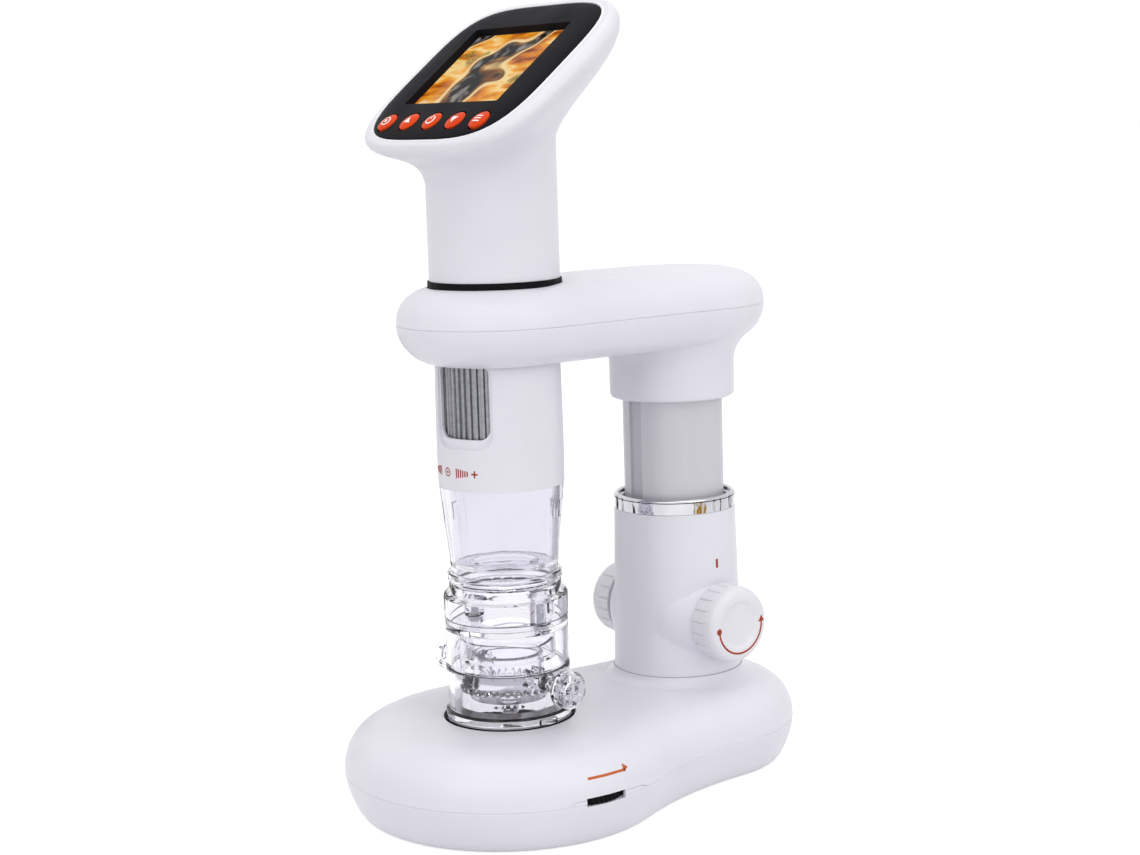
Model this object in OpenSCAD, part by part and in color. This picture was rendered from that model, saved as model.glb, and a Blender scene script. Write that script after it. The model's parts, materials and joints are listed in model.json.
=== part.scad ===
// Digital microscope: a handheld with a tilted screen head drops into an arm, the arm rides on a
// rack-and-pinion pillar, and a clear specimen chamber stands on a lit stage in the base.
// Millimetres, +Z up. The origin is the middle of the footprint, on the table.

/* [Layout] */
// Distance between the handheld's axis and the pillar's axis
axis_gap = 62.1; // [61:0.1:66]
// Radial gap of parts that slide or turn in each other
run_gap = 0.05; // [0.03:0.01:0.1]
// Gap between parts that lie side by side
lay_gap = 0.2; // [0.15:0.01:0.3]

/* [Base] */
// Radius of the base's front lobe, round the handheld's axis
front_lobe_r = 46.1; // [45:0.1:50]
// Radius of the base's rear lobe, round the pillar's axis
rear_lobe_r = 33.6; // [32.5:0.1:36]
// Radius of the hollow waist between the lobes
waist_r = 100; // [80:1:160]
// Height of the seam between the base's two shells
base_seam_z = 12.1; // [12:0.1:13]
// Height of the base's flat top
base_top_z = 25.4; // [25:0.1:28]
// Width of the rounding round the base's top
base_round_w = 15; // [13:0.1:16]
// How far the base's underside lies inside its widest outline
base_tuck = 4.9; // [4:0.1:7]
// Thickness of the base's floor
base_floor = 2; // [1.8:0.1:2.4]
// Thickness of the base's top wall
base_wall = 2.3; // [2:0.1:3]
// Height of the rubber feet below the shell
foot_gap = 0.3; // [0.3:0.1:1.5]
// Radius of a rubber foot
foot_r = 5; // [4:0.1:5.5]

/* [Column] */
// Height of the raised pad under the column
pad_rise = 2.8; // [2:0.1:4]
// Height of the column
column_h = 47; // [46:0.1:56]
// Wall of the column at its top
column_wall = 2.1; // [2:0.1:2.6]
// How much wider the column is at its foot
column_taper = 1.1; // [0.8:0.1:1.6]
// Height of the chrome ring
ring_h = 4.4; // [3:0.1:6]
// Radius of the inner tube that slides
tube_r = 14.4; // [14:0.1:14.5]
// Wall of the inner tube
tube_wall = 2; // [1.8:0.1:2.2]
// Width of the key groove down the inner tube's front
key_w = 5.1; // [4:0.1:7]
// Depth of the key groove
key_depth = 0.8; // [0.5:0.1:1]
// Wall of the bushes that guide the inner tube in the column
bush_wall = 1.05; // [0.9:0.05:1.2]
// Length of the bush at the column's foot
lower_bush_h = 5; // [4:0.5:8]
// Length of the bush at the column's top
upper_bush_h = 11; // [8:0.5:14]

/* [Height drive] */
// Height of the knobs' axis above the column's foot
knob_rise = 15.6; // [15:0.1:18]
// Length of a knob
knob_len = 8.4; // [8.2:0.1:11]
// Radius of a knob
knob_r = 11; // [9:0.1:11.6]
// Number of grooves round a knob
knob_grooves = 20; // [12:1:24]
// Radius of the axle
axle_r = 2.5; // [2:0.1:3]
// Number of teeth on the drive pinion
pinion_teeth = 12; // [12:1:12]
// Pitch radius of the drive pinion
pinion_r = 5; // [4.9:0.05:5.2]
// How far the column can rise
column_travel = 30; // [20:1:30]

/* [Arm] */
// Radius of the arm's round ends
arm_end_r = 26.9; // [26:0.1:29]
// Height of the arm's upper shell
arm_upper_h = 10.3; // [9:0.1:12]
// Height of the arm's lower shell
arm_lower_h = 10.7; // [10:0.1:14]
// Wall of the socket that grips the inner tube
socket_wall = 3.6; // [3.2:0.1:4]
// How far the socket hangs below the arm
socket_drop = 15.9; // [12:0.1:18]
// Outer radius of the rubber seat ring
seat_ring_r = 18.1; // [18:0.1:18.4]
// Height of the seat ring above the arm's highest point
seat_ring_show = 1.3; // [1:0.1:2.5]

/* [Handheld] */
// Radius of the grip tube above the arm
grip_r = 17.6; // [17.6:0.05:17.9]
// Wall of the grip tube
grip_wall = 2; // [1.8:0.1:2.2]
// Length of the lower housing below the seat ring
lower_len = 55.5; // [55:0.1:60]
// Radius of the lower housing at its top
lower_top_r = 16.95; // [16.9:0.05:17]
// Radius of the lower housing at its widest
lower_wide_r = 17.25; // [17.2:0.05:17.3]
// Inner radius of the lower housing
lower_bore_r = 15.5; // [15.4:0.05:15.6]
// Direction that the finger windows face, round from the front
window_turn = 15; // [0:1:30]
// Width of a finger window
window_w = 16.6; // [12:0.1:17]
// Height of a finger window
window_h = 20.4; // [16:0.1:21]

// Length of the rechargeable cell in the grip
battery_len = 34; // [30:1:38]
// Width of the rechargeable cell
battery_w = 24; // [20:1:26]
// Thickness of the rechargeable cell
battery_t = 8; // [6:0.5:9]

/* [Screen head] */
// Tilt of the screen from level
screen_tilt = 38.4; // [34:0.1:42]
// Height of the screen's middle above the seat ring
screen_rise = 57; // [56:0.1:62]
// Half width of the head where it is widest
head_half_w = 36; // [35:0.1:38]
// Half height of the head along the screen, where it is tallest
head_half_h = 30.7; // [30:0.1:33]
// Half width of the dark bezel
bezel_half_w = 31.9; // [31:0.1:33]
// Half height of the dark bezel
bezel_half_h = 27.7; // [27:0.1:28.5]
// How far the head's middle lies below the screen's middle
head_shift = 1.95; // [1:0.05:2.5]
// Width of the white rim round the bezel
rim_w = 1.5; // [1.2:0.1:2]
// Wall of the head
head_wall = 2.3; // [2:0.1:2.6]
// Width of the screen opening
screen_w = 42.1; // [38:0.1:43]
// Height of the screen opening
screen_h = 31.8; // [28:0.1:32]
// Depth of the panel below the bezel's face
screen_depth = 2.3; // [2:0.1:2.5]
// Distance between neighbouring buttons
button_pitch = 10.46; // [9.6:0.02:10.8]
// Distance of the button row below the screen's middle
button_drop = 23.2; // [22.5:0.1:23.6]
// Radius of a button
button_r = 3.4; // [3:0.05:3.8]
// Travel of a button
button_travel = 0.5; // [0.3:0.05:0.5]

/* [Focus drum] */
// Outer radius of the drum's ribs
drum_r = 15.2; // [14.8:0.05:15.2]
// Number of ribs on the drum
drum_ribs = 48; // [36:1:60]
// Length of the drum
drum_len = 27; // [24:0.1:28]
// Outer radius of the focus barrel that carries the drum
barrel_r = 12.95; // [12.5:0.05:13]
// Wall of the focus barrel
barrel_wall = 1.45; // [1.3:0.05:1.6]
// Travel of the lens to each side
lens_travel = 4; // [2:0.5:4]
// Radius of the objective lens
lens_r = 5; // [4:0.25:5.5]
// Length of the carrier that holds the lens and the camera board
carrier_len = 22; // [20:0.5:24]

/* [Clear tip] */
// Length of the clear tip that shows
tip_len = 25.5; // [25:0.1:30]
// Radius of the tip at its end
tip_end_r = 14.5; // [14.2:0.05:14.6]
// Wall of the clear tip
tip_wall = 1.7; // [1.5:0.05:2]

/* [Specimen chamber] */
// Height of the chamber's base part
cell_base_h = 13.7; // [13.5:0.1:15]
// Height of the chamber's middle part
cell_body_h = 13.9; // [13:0.1:16]
// Height of the chamber's cap
cap_h = 12.7; // [12.5:0.1:14]
// Outer radius of the chamber
cell_r = 17.1; // [17:0.05:17.4]
// Outer radius of the chamber where it narrows
cell_neck_r = 16.6; // [16.4:0.05:16.7]
// Wall of the chamber
cell_wall = 1.5; // [1.3:0.05:1.6]
// Radius of the flange that stands on the stage
flange_r = 17.4; // [17.2:0.1:17.8]
// Radius of the cap's collar
collar_r = 15.7; // [15.6:0.05:15.9]
// Height of the knob shafts above the stage
shaft_rise = 11.4; // [11.4:0.05:11.6]
// Pitch radius of a knob's pinion
cell_pinion_r = 3.2; // [3.2:0.05:3.25]
// Number of teeth on a knob's pinion
cell_pinion_teeth = 10; // [10:1:10]
// Number of teeth on the turntable's crown gear
crown_teeth = 38; // [38:2:38]
// Radius of a clear knob
cell_knob_r = 5.1; // [4:0.1:5.4]
// Distance from the chamber's axis to a clear knob's face
cell_knob_reach = 28.4; // [28:0.1:30]

/* [Stage light] */
// Outer radius of the black ring that the chamber stands on
stage_ring_r = 18.2; // [18:0.1:19]
// Width of that ring
stage_ring_w = 1.9; // [1.5:0.1:2.5]
// Radius of the opening that the light comes through
stage_hole_r = 13.6; // [13:0.1:14]
// Radius of the dimmer thumbwheel
dial_r = 10.4; // [9:0.1:10.4]
// Thickness of the dimmer thumbwheel
dial_h = 1.8; // [1.6:0.1:1.8]
// Length of the slot for the thumbwheel
slot_w = 12.2; // [11:0.1:14]
// Height of the slot for the thumbwheel
slot_h = 2.2; // [2.2:0.1:2.8]

/* [Hidden] */

$fn = 64;
// Overshoot of a cut past the face that it opens
over = 1;

// Column, socket and knobs follow from the tube that slides
column_bore_r = tube_r + run_gap + bush_wall;
column_top_r = column_bore_r + column_wall;
column_foot_r = column_top_r + column_taper;
socket_r = tube_r + socket_wall;
knob_back = column_foot_r + 0.3;
knob_reach = knob_back + knob_len;

// Places along Y
hand_y = -(axis_gap + rear_lobe_r - front_lobe_r) / 2;
pillar_y = hand_y + axis_gap;

// Heights, from the table up
stage_z = base_top_z + 0.5;
cell_seam_z = stage_z + cell_base_h;
cap_seam_z = cell_seam_z + cell_body_h;
collar_top_z = cap_seam_z + cap_h;
tip_seat_z = collar_top_z - 1.7;
tip_end_z = tip_seat_z + lay_gap;
lower_end_z = tip_end_z + tip_len;
shoulder_z = lower_end_z + lower_len;
arm_top_z = shoulder_z - seat_ring_show;
arm_seam_z = arm_top_z - arm_upper_h;
arm_bottom_z = arm_seam_z - arm_lower_h;
socket_z = arm_bottom_z - socket_drop;
screen_z = shoulder_z + screen_rise;
column_foot_z = base_top_z + pad_rise;
column_top_z = column_foot_z + column_h;
knob_z = column_foot_z + knob_rise;

// ---------------------------------------------------------------- shared helpers

// Signed power, which turns a circle's sine and cosine into a superellipse's
function signed_power(value, exponent) = sign(value) * pow(abs(value), exponent);

// Directions round a head outline, closer together at its four corners
ring_count = 64;
ring_dirs = [for (i = [0 : ring_count - 1])
    let (turn = 360 * i / ring_count - 90)
    atan2(signed_power(sin(turn), 0.75), signed_power(cos(turn), 0.75))];

// Distance from the middle to a superellipse in one direction
function squircle_reach(dir, a, b, power) =
    pow(pow(abs(cos(dir)) / a, power) + pow(abs(sin(dir)) / b, power), -1 / power);

// Superellipse outline with its own squareness above and below the middle
function squircle(a, b, low, high) = [for (dir = ring_dirs)
    let (r = squircle_reach(dir, a, b, dir < 0 ? low : high))
    [r * cos(dir), r * sin(dir)]];

// Solid through rings that hold the same number of points, from the lowest ring up
module skin(rings) {
    count = len(rings[0]);
    last = len(rings) - 1;
    polyhedron(
        points = [for (ring = rings) each ring],
        faces = concat(
            [[for (i = [0 : count - 1]) i]],
            [for (j = [0 : last - 1], i = [0 : count - 1])
                let (next = (i + 1) % count)
                [j * count + i, (j + 1) * count + i, (j + 1) * count + next, j * count + next]],
            [[for (i = [count - 1 : -1 : 0]) last * count + i]]
        ),
        convexity = 6
    );
}

// Outline of two round lobes with a hollow waist, moved in by inset. Each entry of the list is a
// centre, a radius that is negative on the waist, and a direction.
function lobe_arcs(front_r, rear_r, waist, front_steps, waist_steps, rear_steps) =
    let (
        front_d = front_r + waist,
        rear_d = rear_r + waist,
        waist_y = (front_d * front_d - rear_d * rear_d + axis_gap * axis_gap) / (2 * axis_gap),
        waist_x = sqrt(front_d * front_d - waist_y * waist_y),
        front_dir = atan2(waist_y, waist_x),
        rear_dir = atan2(waist_y - axis_gap, waist_x)
    )
    concat(
        [for (i = [0 : front_steps]) [0, 0, front_r, -90 + (front_dir + 90) * i / front_steps]],
        [for (i = [1 : waist_steps - 1])
            [waist_x, waist_y, -waist, front_dir + (rear_dir - front_dir) * i / waist_steps]],
        [for (i = [0 : rear_steps]) [0, axis_gap, rear_r, rear_dir + (90 - rear_dir) * i / rear_steps]]
    );

function arc_point(arc, inset) =
    [arc[0] + (arc[2] - inset) * cos(arc[3]), hand_y + arc[1] + (arc[2] - inset) * sin(arc[3])];

function lobe_outline(arcs, inset) = concat(
    [for (arc = arcs) arc_point(arc, inset)],
    [for (i = [len(arcs) - 2 : -1 : 1]) let (p = arc_point(arcs[i], inset)) [-p[0], p[1]]]
);

function lift(outline, z) = [for (p = outline) [p[0], p[1], z]];

// Rings of a rounded edge: the outline moves in by up to width while z goes from z0 to z1
function round_rings(arcs, z0, z1, width, power, turns) = [for (t = turns)
    lift(
        lobe_outline(arcs, width * (1 - pow(cos(t), 2 / power))),
        z0 + (z1 - z0) * pow(sin(t), 2 / power)
    )];

function reversed(list) = [for (i = [len(list) - 1 : -1 : 0]) list[i]];

module at_hand(z = 0) translate([0, hand_y, z]) children();

module at_pillar(z = 0) translate([0, pillar_y, z]) children();

module tube(outer_r, inner_r, h) {
    difference() {
        cylinder(r = outer_r, h = h);
        translate([0, 0, -over]) cylinder(r = inner_r, h = h + 2 * over);
    }
}

// Plate with round corners, made of true arcs, standing on z = 0
module round_plate(w, h, r, t) {
    linear_extrude(t) union() {
        square([w - 2 * r, h], center = true);
        square([w, h - 2 * r], center = true);
        for (x = [-1, 1], y = [-1, 1])
            translate([x * (w / 2 - r), y * (h / 2 - r)]) circle(r = r);
    }
}

// Teeth round a circle: straight flanks from root_w at the root to tip_w at the tip
function gear_outline(teeth, root_r, tip_r, root_w, tip_w, start) =
    [for (i = [0 : teeth - 1],
        corner = [[root_r, -root_w], [tip_r, -tip_w], [tip_r, tip_w], [root_r, root_w]])
        let (dir = start + 360 * i / teeth + asin(corner[1] / corner[0]))
        [corner[0] * cos(dir), corner[0] * sin(dir)]];

// ---------------------------------------------------------------- screen head

face_y = hand_y - 0.45;
grip_bore_r = grip_r - grip_wall;
// The grip tube meets the head on a slanting cut
cut_tilt = 23;
cut_z = screen_z - 25.1;
// Where the head is widest, as a share of the way from the cut to the rim
widest_at = 0.86;
rim_depth = 1.3;
bezel_back = 3.2;
low_square = 3.67;
high_square = 4.2;
// How far the head's middle line runs straight out of the screen before it bends to the grip
neck_reach = 10.8;
// How late the head widens, and how soon its lower and upper corners turn square
widen_power = 1.65;
low_power = 0.65;
high_power = 1.6;
board_top = 6.2;
board_t = 1.2;
// Depth of the pocket that the bezel, panel and board lie in
pocket_back = board_top + board_t + lay_gap;
post_r = 1.7;
post_x = 26.3;
post_v = [9, -6];
button_hole_r = button_r + 0.1;

// Moves children into the screen's frame: x across, y up the screen, z out of it
module on_face(x = 0, v = 0, out = 0) {
    translate([0, face_y, screen_z]) rotate([screen_tilt, 0, 0]) translate([x, v, out]) children();
}

// One ring of the head: h runs from 0 on the slanting cut to 1 at the rim. The middle follows a
// curve that leaves the grip upwards and arrives square to the screen.
function head_ring(h, inset) =
    let (
        grow = sin(90 * pow(min(h / widest_at, 1), widen_power)),
        over_edge = max(h - widest_at, 0) / (1 - widest_at),
        draw_in = 1 - sqrt(1 - over_edge * over_edge),
        tilt = cut_tilt + (screen_tilt - cut_tilt) * h,
        end_y = face_y - head_shift * cos(screen_tilt) + rim_depth * sin(screen_tilt),
        end_z = screen_z - head_shift * sin(screen_tilt) - rim_depth * cos(screen_tilt),
        bend_y = end_y + neck_reach * sin(screen_tilt),
        bend_z = end_z - neck_reach * cos(screen_tilt),
        mid_y = (1 - h) * (1 - h) * hand_y + 2 * h * (1 - h) * bend_y + h * h * end_y,
        mid_z = (1 - h) * (1 - h) * cut_z + 2 * h * (1 - h) * bend_z + h * h * end_z,
        cut_half = grip_r / cos(cut_tilt),
        half_w = grip_r + (head_half_w - grip_r) * grow
            - (head_half_w - bezel_half_w - rim_w) * draw_in - inset,
        half_v = cut_half + (head_half_h - cut_half) * grow
            - (head_half_h - bezel_half_h - rim_w) * draw_in - inset,
        low = 2 + (low_square - 2) * pow(h, low_power),
        high = 2 + (high_square - 2) * pow(h, high_power)
    )
    [for (p = squircle(half_w, half_v, low, high))
        [p[0], mid_y + p[1] * cos(tilt), mid_z + p[1] * sin(tilt)]];

function grip_ring(z) = [for (p = squircle(grip_r, grip_r, 2, 2)) [p[0], hand_y + p[1], z]];

module upper_housing() {
    heights = [0, 0.07, 0.15, 0.24, 0.33, 0.42, 0.51, 0.6, 0.69, 0.78, 0.86, 0.9, 0.94, 0.97, 0.99, 1];
    hollow = [0.15, 0.27, 0.39, 0.51, 0.63, 0.74];
    color("white") difference() {
        skin(concat(
            [grip_ring(shoulder_z)],
            [for (h = heights) head_ring(h, 0)]
        ));
        skin([for (h = hollow) head_ring(h, head_wall)]);
        at_hand(shoulder_z - over) cylinder(r = grip_bore_r, h = cut_z - shoulder_z + 10);
        on_face(0, -head_shift, -bezel_back) linear_extrude(bezel_back + over)
            polygon(squircle(bezel_half_w + 0.12, bezel_half_h + 0.12, low_square, high_square));
        on_face(0, -head_shift, -pocket_back) linear_extrude(pocket_back - over)
            polygon(squircle(bezel_half_w - 1.9, bezel_half_h - 1.9, low_square, high_square));
        on_face(0, -head_shift, -pocket_back - over) linear_extrude(2 * over)
            polygon(squircle(bezel_half_w - 3.4, bezel_half_h - 3.4, low_square, high_square));
        for (i = [-2, 2]) on_face(i * button_pitch, -button_drop, -board_top)
            cylinder(r = button_r + 1.1, h = board_top);
        on_face(-head_half_w, port_v, port_out) rotate([90, 0, 90])
            round_plate(10.4, 4.2, 1.5, port_reach + 4);
        on_face(-head_half_w, card_v, card_out) rotate([90, 0, 90])
            round_plate(13, 2.4, 0.8, port_reach + 8);
    }
}

module screen_bezel() {
    outline = function (out, inset)
        [for (p = squircle(bezel_half_w - inset, bezel_half_h - inset, low_square, high_square))
            [p[0], p[1] - head_shift, out]];
    color("#2d2d32") on_face() {
        difference() {
            skin([
                outline(-bezel_back, 0), outline(-1.35, 0), outline(-0.95, 0.5),
                outline(-0.6, 2.8), outline(-0.3, 7.5)
            ]);
            translate([0, 0, -screen_depth - over])
                round_plate(screen_w, screen_h, 0.6, screen_depth + 2 * over);
            translate([0, 0, -bezel_back - over])
                round_plate(panel_w + 0.2, panel_h + 0.2, 0.5, bezel_back - screen_depth + over);
            for (i = [-2 : 2])
                translate([i * button_pitch, -button_drop, -bezel_back - over])
                    cylinder(r = button_hole_r, h = bezel_back + 2 * over);
        }
        for (x = [-1, 1], v = post_v)
            translate([x * post_x, v, -board_top]) cylinder(r = post_r, h = board_top - bezel_back);
    }
}

panel_w = screen_w + 5;
panel_h = screen_h + 4;

module lcd_panel() {
    color("#20242a") on_face(0, 0, -screen_depth - 2.4) round_plate(panel_w, panel_h, 0.5, 2.4);
}

board_a = 27.9;
board_b = 21.5;
board_mid = -5.5;

module main_board() {
    color("darkgreen") on_face(0, board_mid, -board_top - board_t) difference() {
        linear_extrude(board_t) polygon(squircle(board_a, board_b, 4, 4));
        for (x = [-1, 1], v = post_v)
            translate([x * post_x, v - board_mid, -over]) cylinder(r = 0.8, h = board_t + 2 * over);
    }
}

module board_screws() {
    color("silver") for (x = [-1, 1], v = post_v)
        on_face(x * post_x, v, -board_top - board_t - 1) cylinder(r = 1.6, h = 1);
}

switch_h = 1.2;

module button_switches() {
    color("dimgray") for (i = [-2 : 2]) on_face(i * button_pitch, -button_drop, -board_top) {
        translate([-2, -2, 0]) cube([4, 4, switch_h]);
        cylinder(r = 0.9, h = switch_h + 0.15);
    }
}

port_v = 2;
port_out = -board_top - board_t - 1.7;
card_v = -15;
card_out = -board_top - board_t - 0.9;
port_reach = 6.2;

// The charging port's shell: its mouth faces the head's left wall
module charging_port() {
    color("silver") on_face(-head_half_w + port_reach, port_v, port_out) rotate([90, 0, 90])
        difference() {
            round_plate(8.9, 3.2, 1.4, 6.5);
            translate([0, 0, -over]) round_plate(8.3, 2.6, 1.1, 5.5 + over);
        }
}

module card_slot() {
    color("silver") on_face(-head_half_w + port_reach, card_v, card_out) rotate([90, 0, 90])
        difference() {
            round_plate(12, 1.7, 0.2, 12);
            translate([0, 0, -over]) round_plate(11, 0.9, 0.2, 11 + over);
        }
}

module button(place) {
    cap_out = 0.15;
    dome = 0.75;
    dome_r = (button_r * button_r + dome * dome) / (2 * dome);
    flange_h = 0.8;
    stem_end = board_top - switch_h - 0.15 - button_travel - 0.15;
    color("#d8431e") on_face(place * button_pitch, -button_drop) {
        translate([0, 0, -bezel_back - 0.1 - flange_h]) cylinder(r = button_r + 0.8, h = flange_h);
        translate([0, 0, -bezel_back - 0.15]) cylinder(r = button_r, h = bezel_back + 0.15 + cap_out);
        intersection() {
            translate([0, 0, cap_out + dome - dome_r]) sphere(r = dome_r);
            translate([0, 0, cap_out - 0.05]) cylinder(r = button_r, h = 2);
        }
        translate([0, 0, -stem_end]) cylinder(r = 1.2, h = stem_end - bezel_back);
    }
}

module button_select() { button(-2); }

module button_up() { button(-1); }

module button_power() { button(0); }

module button_down() { button(1); }

module button_menu() { button(2); }

// ---------------------------------------------------------------- handheld's lower half

disc_z = shoulder_z + 5.3;
disc_t = 2;
drum_z = lower_end_z + 10.8;
window_z = drum_z + 3.2 + window_h / 2;
drum_stop_z = drum_z + drum_len + lay_gap;
barrel_top_z = disc_z - disc_t;

module battery_cell() {
    color("lightsteelblue") at_hand(disc_z)
        translate([0, battery_t / 2, battery_len / 2]) rotate([90, 0, 0])
            round_plate(battery_w, battery_len, 1.5, battery_t);
}

// A window through the wall, with a shallow round-cornered surround
module finger_window(turn) {
    at_hand(window_z) rotate([0, 0, turn]) rotate([90, 0, 0]) {
        translate([0, 0, lower_bore_r / 2]) round_plate(window_w, window_h, 3, lower_bore_r);
        intersection() {
            translate([0, -0.9, 0]) round_plate(window_w + 2, window_h + 3.4, 4.5, lower_bore_r * 2);
            rotate([90, 0, 0]) translate([0, 0, -window_h])
                tube(lower_wide_r + 2, lower_wide_r - 0.8, window_h * 2);
        }
    }
}

module lower_housing() {
    tip_grip = 4.2;
    ledge_r = lower_bore_r - 1.9;
    color("white") difference() {
        at_hand() rotate_extrude($fn = 96) polygon([
            [lower_bore_r, lower_end_z],
            [lower_wide_r - 0.12, lower_end_z],
            [lower_wide_r - 0.04, lower_end_z + 3.5],
            [lower_wide_r, lower_end_z + 8],
            [lower_wide_r - 0.03, lower_end_z + 15],
            [lower_wide_r - 0.12, lower_end_z + 24],
            [lower_top_r + 0.03, lower_end_z + 36],
            [lower_top_r, shoulder_z],
            [grip_bore_r - 0.05, shoulder_z],
            [grip_bore_r - 0.05, disc_z],
            [3, disc_z],
            [3, disc_z - disc_t],
            [lower_bore_r - 0.6, disc_z - disc_t],
            [lower_bore_r - 0.6, shoulder_z - 1],
            [lower_bore_r, shoulder_z - 2],
            [lower_bore_r, drum_stop_z + 1.6],
            [barrel_r + 0.7, drum_stop_z + 1.6],
            [barrel_r + 0.7, drum_stop_z],
            [lower_bore_r, drum_stop_z],
            [lower_bore_r, lower_end_z + tip_grip + 1.4],
            [ledge_r, lower_end_z + tip_grip + 1.4],
            [ledge_r, lower_end_z + tip_grip],
            [lower_bore_r, lower_end_z + tip_grip]
        ]);
        finger_window(window_turn);
        finger_window(window_turn + 180);
    }
}

module focus_drum() {
    rim_h = 2;
    bore_r = barrel_r + run_gap;
    color("dimgray") at_hand(drum_z) {
        translate([0, 0, rim_h]) difference() {
            linear_extrude(drum_len - 2 * rim_h)
                polygon(gear_outline(drum_ribs, drum_r - 0.7, drum_r - 0.05, 0.62, 0.38, 0));
            translate([0, 0, -over]) cylinder(r = bore_r, h = drum_len);
        }
        for (z = [0, drum_len - rim_h]) translate([0, 0, z]) tube(drum_r, bore_r, rim_h);
    }
}

module focus_barrel() {
    bore_r = barrel_r - barrel_wall;
    color("#303034") at_hand() rotate_extrude() polygon([
        [bore_r, drum_z - lay_gap - 1.6],
        [drum_r, drum_z - lay_gap - 1.6],
        [drum_r, drum_z - lay_gap],
        [barrel_r, drum_z - lay_gap],
        [barrel_r, barrel_top_z - 1.8],
        [drum_r - 0.4, barrel_top_z - 1.8],
        [drum_r - 0.4, barrel_top_z],
        [bore_r, barrel_top_z]
    ]);
}

carrier_z = drum_z + 4;
carrier_r = barrel_r - barrel_wall - run_gap;
carrier_wall = 1.4;
lens_seat = 4.2;
nose_len = 0.39 * carrier_len;
floor_top = nose_len + 1.8;

// Carrier: a nose round the lens, then a floor, then a skirt that slides in the barrel
module lens_carrier() {
    hole_r = 0.72 * lens_r;
    color("#1c1c1f") at_hand(carrier_z) rotate_extrude() polygon([
        [lens_r, 0], [lens_r + carrier_wall, 0], [lens_r + carrier_wall + 0.2, nose_len - 0.6],
        [carrier_r, nose_len], [carrier_r, carrier_len], [carrier_r - carrier_wall, carrier_len],
        [carrier_r - carrier_wall, floor_top], [hole_r, floor_top], [hole_r, lens_seat], [lens_r, lens_seat]
    ]);
}

module camera_board() {
    sensor_w = 1.2 * lens_r;
    sensor_h = 2.2;
    spacer_w = 2;
    color("darkgreen") at_hand(carrier_z + floor_top) {
        translate([-sensor_w / 2, -sensor_w / 2, 0]) cube([sensor_w, sensor_w, sensor_h]);
        translate([0, 0, sensor_h]) cylinder(r = carrier_r - carrier_wall - 0.1, h = board_t);
        for (x = [-1, 1]) translate([x * 0.63 * carrier_r - spacer_w / 2, -spacer_w / 2, 0])
            cube([spacer_w, spacer_w, sensor_h]);
    }
}

module objective_lens() {
    bulge_r = 2.8 * lens_r;
    half_t = 1.8;
    color("lightblue") at_hand(carrier_z + lens_seat - half_t) intersection() {
        cylinder(r = lens_r - 0.02, h = 4, center = true);
        translate([0, 0, half_t - bulge_r]) sphere(r = bulge_r);
        translate([0, 0, bulge_r - half_t]) sphere(r = bulge_r);
    }
}

light_z = lower_end_z + 5.6;
light_hole_r = 9.5;

module ring_light_board() {
    color("darkgreen") at_hand(light_z) tube(lower_bore_r - 0.1, light_hole_r, 1.2);
}

module ring_light_leds() {
    color("khaki") for (i = [0 : 7]) at_hand(light_z) rotate([0, 0, 45 * i])
        translate([11.6 - 1.4, -1.2, -0.9]) cube([2.8, 2.4, 0.9]);
}

module clear_tip() {
    top_r = lower_wide_r - 0.12;
    floor_z = 3.2;
    spigot_r = lower_bore_r - 0.1;
    lug_turn = 139;
    color("#e8eef4", 0.4) at_hand(tip_end_z) {
        rotate_extrude($fn = 96) polygon([
            [tip_end_r - tip_wall, 0],
            [tip_end_r - 0.3, 0],
            [tip_end_r, 0.3],
            [top_r, tip_len],
            [spigot_r, tip_len],
            [spigot_r, tip_len + 4],
            [spigot_r - 1.3, tip_len + 4],
            [spigot_r - 1.3, tip_len - 0.6],
            [tip_end_r - tip_wall + 0.35, floor_z + 1.3],
            [9.4, floor_z + 1.3],
            [9.4, floor_z + 1.8],
            [8.6, floor_z + 1.8],
            [8.6, floor_z],
            [tip_end_r - tip_wall, floor_z]
        ]);
        for (turn = [0, 180]) rotate([0, 0, turn + lug_turn - 90])
            translate([13.1, -2, tip_len - 9.2]) cube([2, 4, 4.6]);
    }
}

// ---------------------------------------------------------------- arm and moving column

arm_arcs = lobe_arcs(arm_end_r, arm_end_r, 100000, 15, 2, 15);
ring_bore_r = lower_wide_r + 0.12;
ring_step_r = seat_ring_r - 0.45;
arm_wall = 2.4;
boss_top_gap = 1.8;
// Width and squareness of the rounding of the arm's upper and lower edges
arm_top_round = 13;
arm_top_power = 2.2;
arm_low_round = 10;
arm_low_power = 1.8;

// Screws that join the arm's shells stand between the two bores
arm_screw_places = [for (x = [-1, 1]) [x * 15.5, hand_y + axis_gap / 2]];

module arm_upper_shell() {
    turns = [0, 14, 28, 42, 56, 68, 79, 90];
    color("white") difference() {
        skin(concat(
            [lift(lobe_outline(arm_arcs, 0.2), arm_seam_z)],
            [lift(lobe_outline(arm_arcs, 0), arm_seam_z + 0.2)],
            round_rings(arm_arcs, arm_seam_z + 0.6, arm_top_z, arm_top_round, arm_top_power, turns)
        ));
        at_hand(arm_seam_z - over) cylinder(r = seat_ring_r + 0.1, h = arm_upper_h + 2 * over);
        difference() {
            translate([0, 0, arm_seam_z - over]) linear_extrude(arm_upper_h - 3.5 + over)
                polygon(lobe_outline(arm_arcs, 5));
            at_hand(arm_seam_z - 2 * over) cylinder(r = seat_ring_r + arm_wall, h = arm_upper_h);
            for (p = arm_screw_places) translate([p[0], p[1], arm_seam_z - 2 * over])
                cylinder(r = 3, h = arm_upper_h);
        }
        for (p = arm_screw_places) translate([p[0], p[1], arm_seam_z - over])
            cylinder(r = 1, h = 5 + over);
    }
}

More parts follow.
